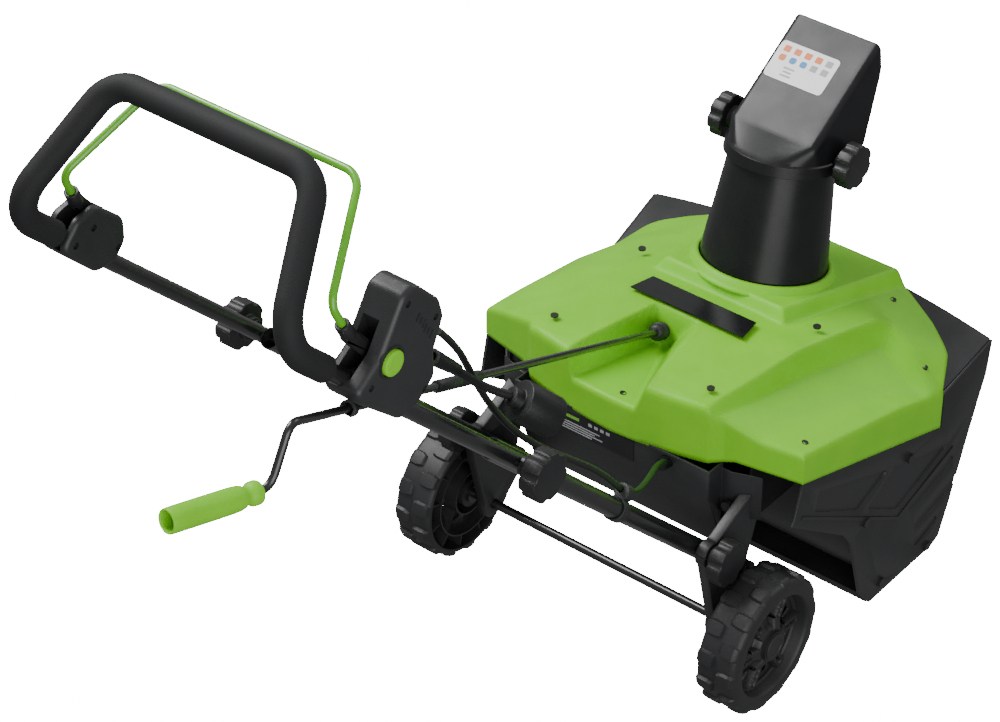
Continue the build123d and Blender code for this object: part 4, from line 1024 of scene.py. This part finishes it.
def makePanels():
    for side, sign in (("right", 1), ("left", -1)):
        node = "side_panel_" + side
        panel = cleanCopy(node, "panel" + side)
        cutters = []
        for field in panelSet["fields"]:
            outline = roundedOutline(field, 6)
            cutters.append(sheared(roundedSlab("field", outline, -panelSet["depth"], 6), sign))
        for (y0, z0), (y1, z1) in panelSet["grooves"]:
            middle = ((y0 + y1) / 2, (z0 + z1) / 2)
            outline = roundedOutline(beadOutline([(y0, z0), middle, (y1, z1)], panelSet["grooveWidth"]), 4.5)
            cutters.append(sheared(roundedSlab("groove", outline, -panelSet["grooveDepth"], 6), sign))
        cutAway(panel, cutters)
        bevelled(panel, 0.9, 2)
        finishPiece(panel, blackShell, "hull", [node])
        beadLine = beadOutline(panelSet["ledge"], panelSet["bead"])
        bead = roundedSlab("ledge" + side, beadLine, -1.0, 1.3, 0.7)
        finishPiece(sheared(bead, sign), blackShell, "hull")


makePanels()
print("panels made")


# the crank's bent rod, its joint boot and its hollow green grip
crankSet = {
    "joint": np.array([-24.0, -110.0, 350.0]),
    "end": np.array([204.6, -1018.9, 867.0]),
    "arm": np.array([0.010, -0.488, -0.873]),
    "armLength": 65.0,
    "stub": np.array([-0.154, -0.966, 0.207]),
    "radius": 4.5,
}


def bentPath(points, bend, steps=12):
    # an open line in space with its corners turned into curves
    path = np.array(points, float)
    line = [path[:1]]
    t = np.linspace(0, 1, steps)[:, None]
    for before, here, after in zip(path, path[1:], path[2:]):
        start = here + (before - here) / np.linalg.norm(before - here) * bend
        end = here + (after - here) / np.linalg.norm(after - here) * bend
        line.append((1 - t) ** 2 * start + 2 * t * (1 - t) * here + t ** 2 * end)
    return np.concatenate(line + [path[-1:]])


def tubeAlong(name, path, radius):
    # a round bar along a line in space
    data = bpy.data.curves.new(name, "CURVE")
    data.dimensions = "3D"
    data.bevel_depth = radius * mm
    data.bevel_resolution = 7
    data.use_fill_caps = True
    spline = data.splines.new("POLY")
    spline.points.add(len(path) - 1)
    spline.points.foreach_set("co", np.column_stack([path * mm, np.ones(len(path))]).reshape(-1))
    return meshOf(data, name)


def meshOf(curve, name):
    # a curve's tube as a mesh object, the curve itself dropped
    holder = bpy.data.objects.new(name + "Line", curve)
    bpy.context.scene.collection.objects.link(holder)
    seen = holder.evaluated_get(bpy.context.evaluated_depsgraph_get())
    mesh = bpy.data.meshes.new_from_object(seen)
    bpy.data.objects.remove(holder)
    mesh.polygons.foreach_set("use_smooth", np.ones(len(mesh.polygons), bool))
    mesh.set_sharp_from_angle(angle=math.radians(50))
    piece = bpy.data.objects.new(name, mesh)
    bpy.context.scene.collection.objects.link(piece)
    return piece


def makeCrank():
    joint, end = crankSet["joint"], crankSet["end"]
    along = (end - joint) / np.linalg.norm(end - joint)
    arm = crankSet["arm"] / np.linalg.norm(crankSet["arm"])
    stub = crankSet["stub"] / np.linalg.norm(crankSet["stub"])
    armEnd = end + arm * crankSet["armLength"]
    path = bentPath([joint + along * 16, end, armEnd, armEnd + stub * 100], 15)
    rod = tubeAlong("crankRod", path, crankSet["radius"])
    finishPiece(rod, tubeCoat, "crank", ["crank_rod"])
    boot = turnedPart(joint, along, [
        (-1.0, 8.7), (-1.0, 10.6), (1.5, 11.5), (6, 11.5), (7, 10.2), (8.5, 10.2), (9.5, 11.5), (15, 11.5),
        (16, 10), (17.5, 10), (18.5, 11), (23, 9.4), (25, 7), (25.5, 4.6),
    ])
    finishPiece(joinParts("jointBoot", [boot]), blackGrip, "crank")
    sleeve = turnedPart(joint, along, [
        (604, 4.4), (604, 6.4), (605, 7), (660, 7), (661, 6.5), (664, 6.5), (665, 7), (720, 7), (721, 6.4),
        (721, 4.4),
    ])
    finishPiece(joinParts("crankSleeve", [sleeve]), blackGrip, "crank", ["crank_sleeve"])
    grip = turnedPart(armEnd, stub, [
        (100, 4.9), (100, 9.2), (120.5, 9.6), (121.4, 10.2), (122, 11.2), (121.6, 12.2), (120, 12.8),
        (112, 13), (70, 13), (46, 12.8), (38, 12.2), (34, 11), (31.5, 9.6), (28.5, 9.4), (26.5, 10.4),
        (24.5, 11.8), (22, 12.2), (17, 12.2), (15, 11.4), (14.2, 10), (14, 4.9),
    ], 72)
    finishPiece(joinParts("crankGrip", [grip]), greenShell, "grip", ["crank_grip"])


makeCrank()
print("crank made")


# the motor lead: one tube from the switch box across the pivot to the gland
leadDiameter = 8.0
leadRoute = [
    (170, -765, 812), (164, -730, 771), (159, -703, 721), (157, -682, 680), (156, -658, 640),
    (154, -624, 593), (157, -581, 545), (156, -527, 496), (155, -471, 443), (153, -430, 392),
    (142, -385, 350), (120, -330, 325), (98, -280, 309), (85, -245, 283),
]


def makeMotorLead():
    holder = routeCurve("leadLine", leadRoute, leadDiameter)
    data = holder.data.copy()
    bpy.data.objects.remove(holder)
    lead = meshOf(data, "motorLead")
    lead.data.materials.clear()
    lead.data.materials.append(leadGreenReflection)
    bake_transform(lead)
    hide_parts("motor_lead_upper", "motor_lead_lower")


def leadWithGreenReflection():
    # black rubber jacket; towards the machine it turns dark green as a painted reflection of the green cover
    material, tree, shader, place = startMaterial("leadGreenReflection")
    split = addNode(tree, "ShaderNodeSeparateXYZ", links={"Vector": (place, "Object")})
    # share of the painted green reflection: none at the handle, full near the machine
    share = addNode(
        tree, "ShaderNodeMapRange", inputs={"From Min": -0.50, "From Max": -0.36},
        links={"Value": (split, "Y")},
    )
    tint = addNode(tree, "ShaderNodeValToRGB", links={"Fac": (share, "Result")})
    tint.color_ramp.elements[0].color = linearColour("#161817")
    # dark green: painted reflection of the green cover on the lead's machine end
    tint.color_ramp.elements[1].color = linearColour("#21401a")
    tree.links.new(tint.outputs["Color"], shader.inputs["Base Color"])
    shader.inputs["Roughness"].default_value = 0.42
    shader.inputs["IOR"].default_value = 1.5
    return material


# the lead's black jacket with a painted green reflection near the machine
leadGreenReflection = leadWithGreenReflection()
makeMotorLead()


def ratingPrint():
    # the rating plate: dark film with plain printed bars
    # an upright film facing the operator, with bars as (x, z, width, height)
    film = joinParts("ratingFilm", [boxPart((-23, -244.4, 273), np.eye(3), (118, 0.5, 30))])
    finishPiece(film, badgeGloss, "hull", ["rating_label"])
    lines = [(-46, 272, 62, 1.6), (-50, 268.5, 54, 1.6), (-44, 265, 66, 1.6), (-52, 261.5, 50, 1.6)]
    lines += [(x, 281, 5.5, 4.5) for x in (-30, -21, -12, -3)]
    for name, ink, bars in (("ratingGreen", greenInk, [(-62, 281, 30, 4.5)]), ("ratingGrey", greyInk, lines)):
        parts = [boxPart((x, -244.7, z), np.eye(3), (w, 0.3, h)) for x, z, w, h in bars]
        finishPiece(joinParts(name, parts), ink, "hull")


ratingPrint()
print("leads and plate made")


lightSet = {"below": 0.22, "above": 0.48, "seen": 30.0}


def studio():
    world = bpy.data.worlds.new("studio")
    bpy.context.scene.world = world
    world.use_nodes = True
    tree = world.node_tree
    sky = tree.nodes["Background"]
    out = tree.nodes["World Output"]
    # light falls mostly from above; the camera itself sees plain white
    place = addNode(tree, "ShaderNodeTexCoord")
    split = addNode(tree, "ShaderNodeSeparateXYZ", links={"Vector": (place, "Generated")})
    height = addNode(
        tree, "ShaderNodeMapRange",
        inputs={"From Min": -0.4, "From Max": 0.7, "To Min": lightSet["below"], "To Max": lightSet["above"]},
        links={"Value": (split, "Z")},
    )
    sky.inputs["Color"].default_value = linearColour("#ffffff")
    tree.links.new(height.outputs["Result"], sky.inputs["Strength"])
    white = addNode(
        tree, "ShaderNodeBackground", inputs={"Color": linearColour("#ffffff"), "Strength": lightSet["seen"]}
    )
    ray = addNode(tree, "ShaderNodeLightPath")
    mix = addNode(tree, "ShaderNodeMixShader", links={"Fac": (ray, "Is Camera Ray")})
    tree.links.new(sky.outputs["Background"], mix.inputs[1])
    tree.links.new(white.outputs["Background"], mix.inputs[2])
    tree.links.new(mix.outputs["Shader"], out.inputs["Surface"])
    lamps = {
        "key": ((-1.9, -0.7, 3.2), 1.8, 140),
        "fill": ((2.6, -2.6, 1.3), 2.8, 90),
        "rim": ((0.6, 2.8, 2.6), 2.2, 22),
    }
    target = Vector((0, -0.35, 0.35))
    for name, (place, size, power) in lamps.items():
        data = bpy.data.lights.new(name, "AREA")
        data.size = size        # metres, and the power is in watts
        data.energy = power
        lamp = bpy.data.objects.new(name, data)
        lamp.location = place
        lamp.rotation_euler = (target - Vector(place)).to_track_quat("-Z", "Y").to_euler()
        bpy.context.scene.collection.objects.link(lamp)


studio()
print("studio made")
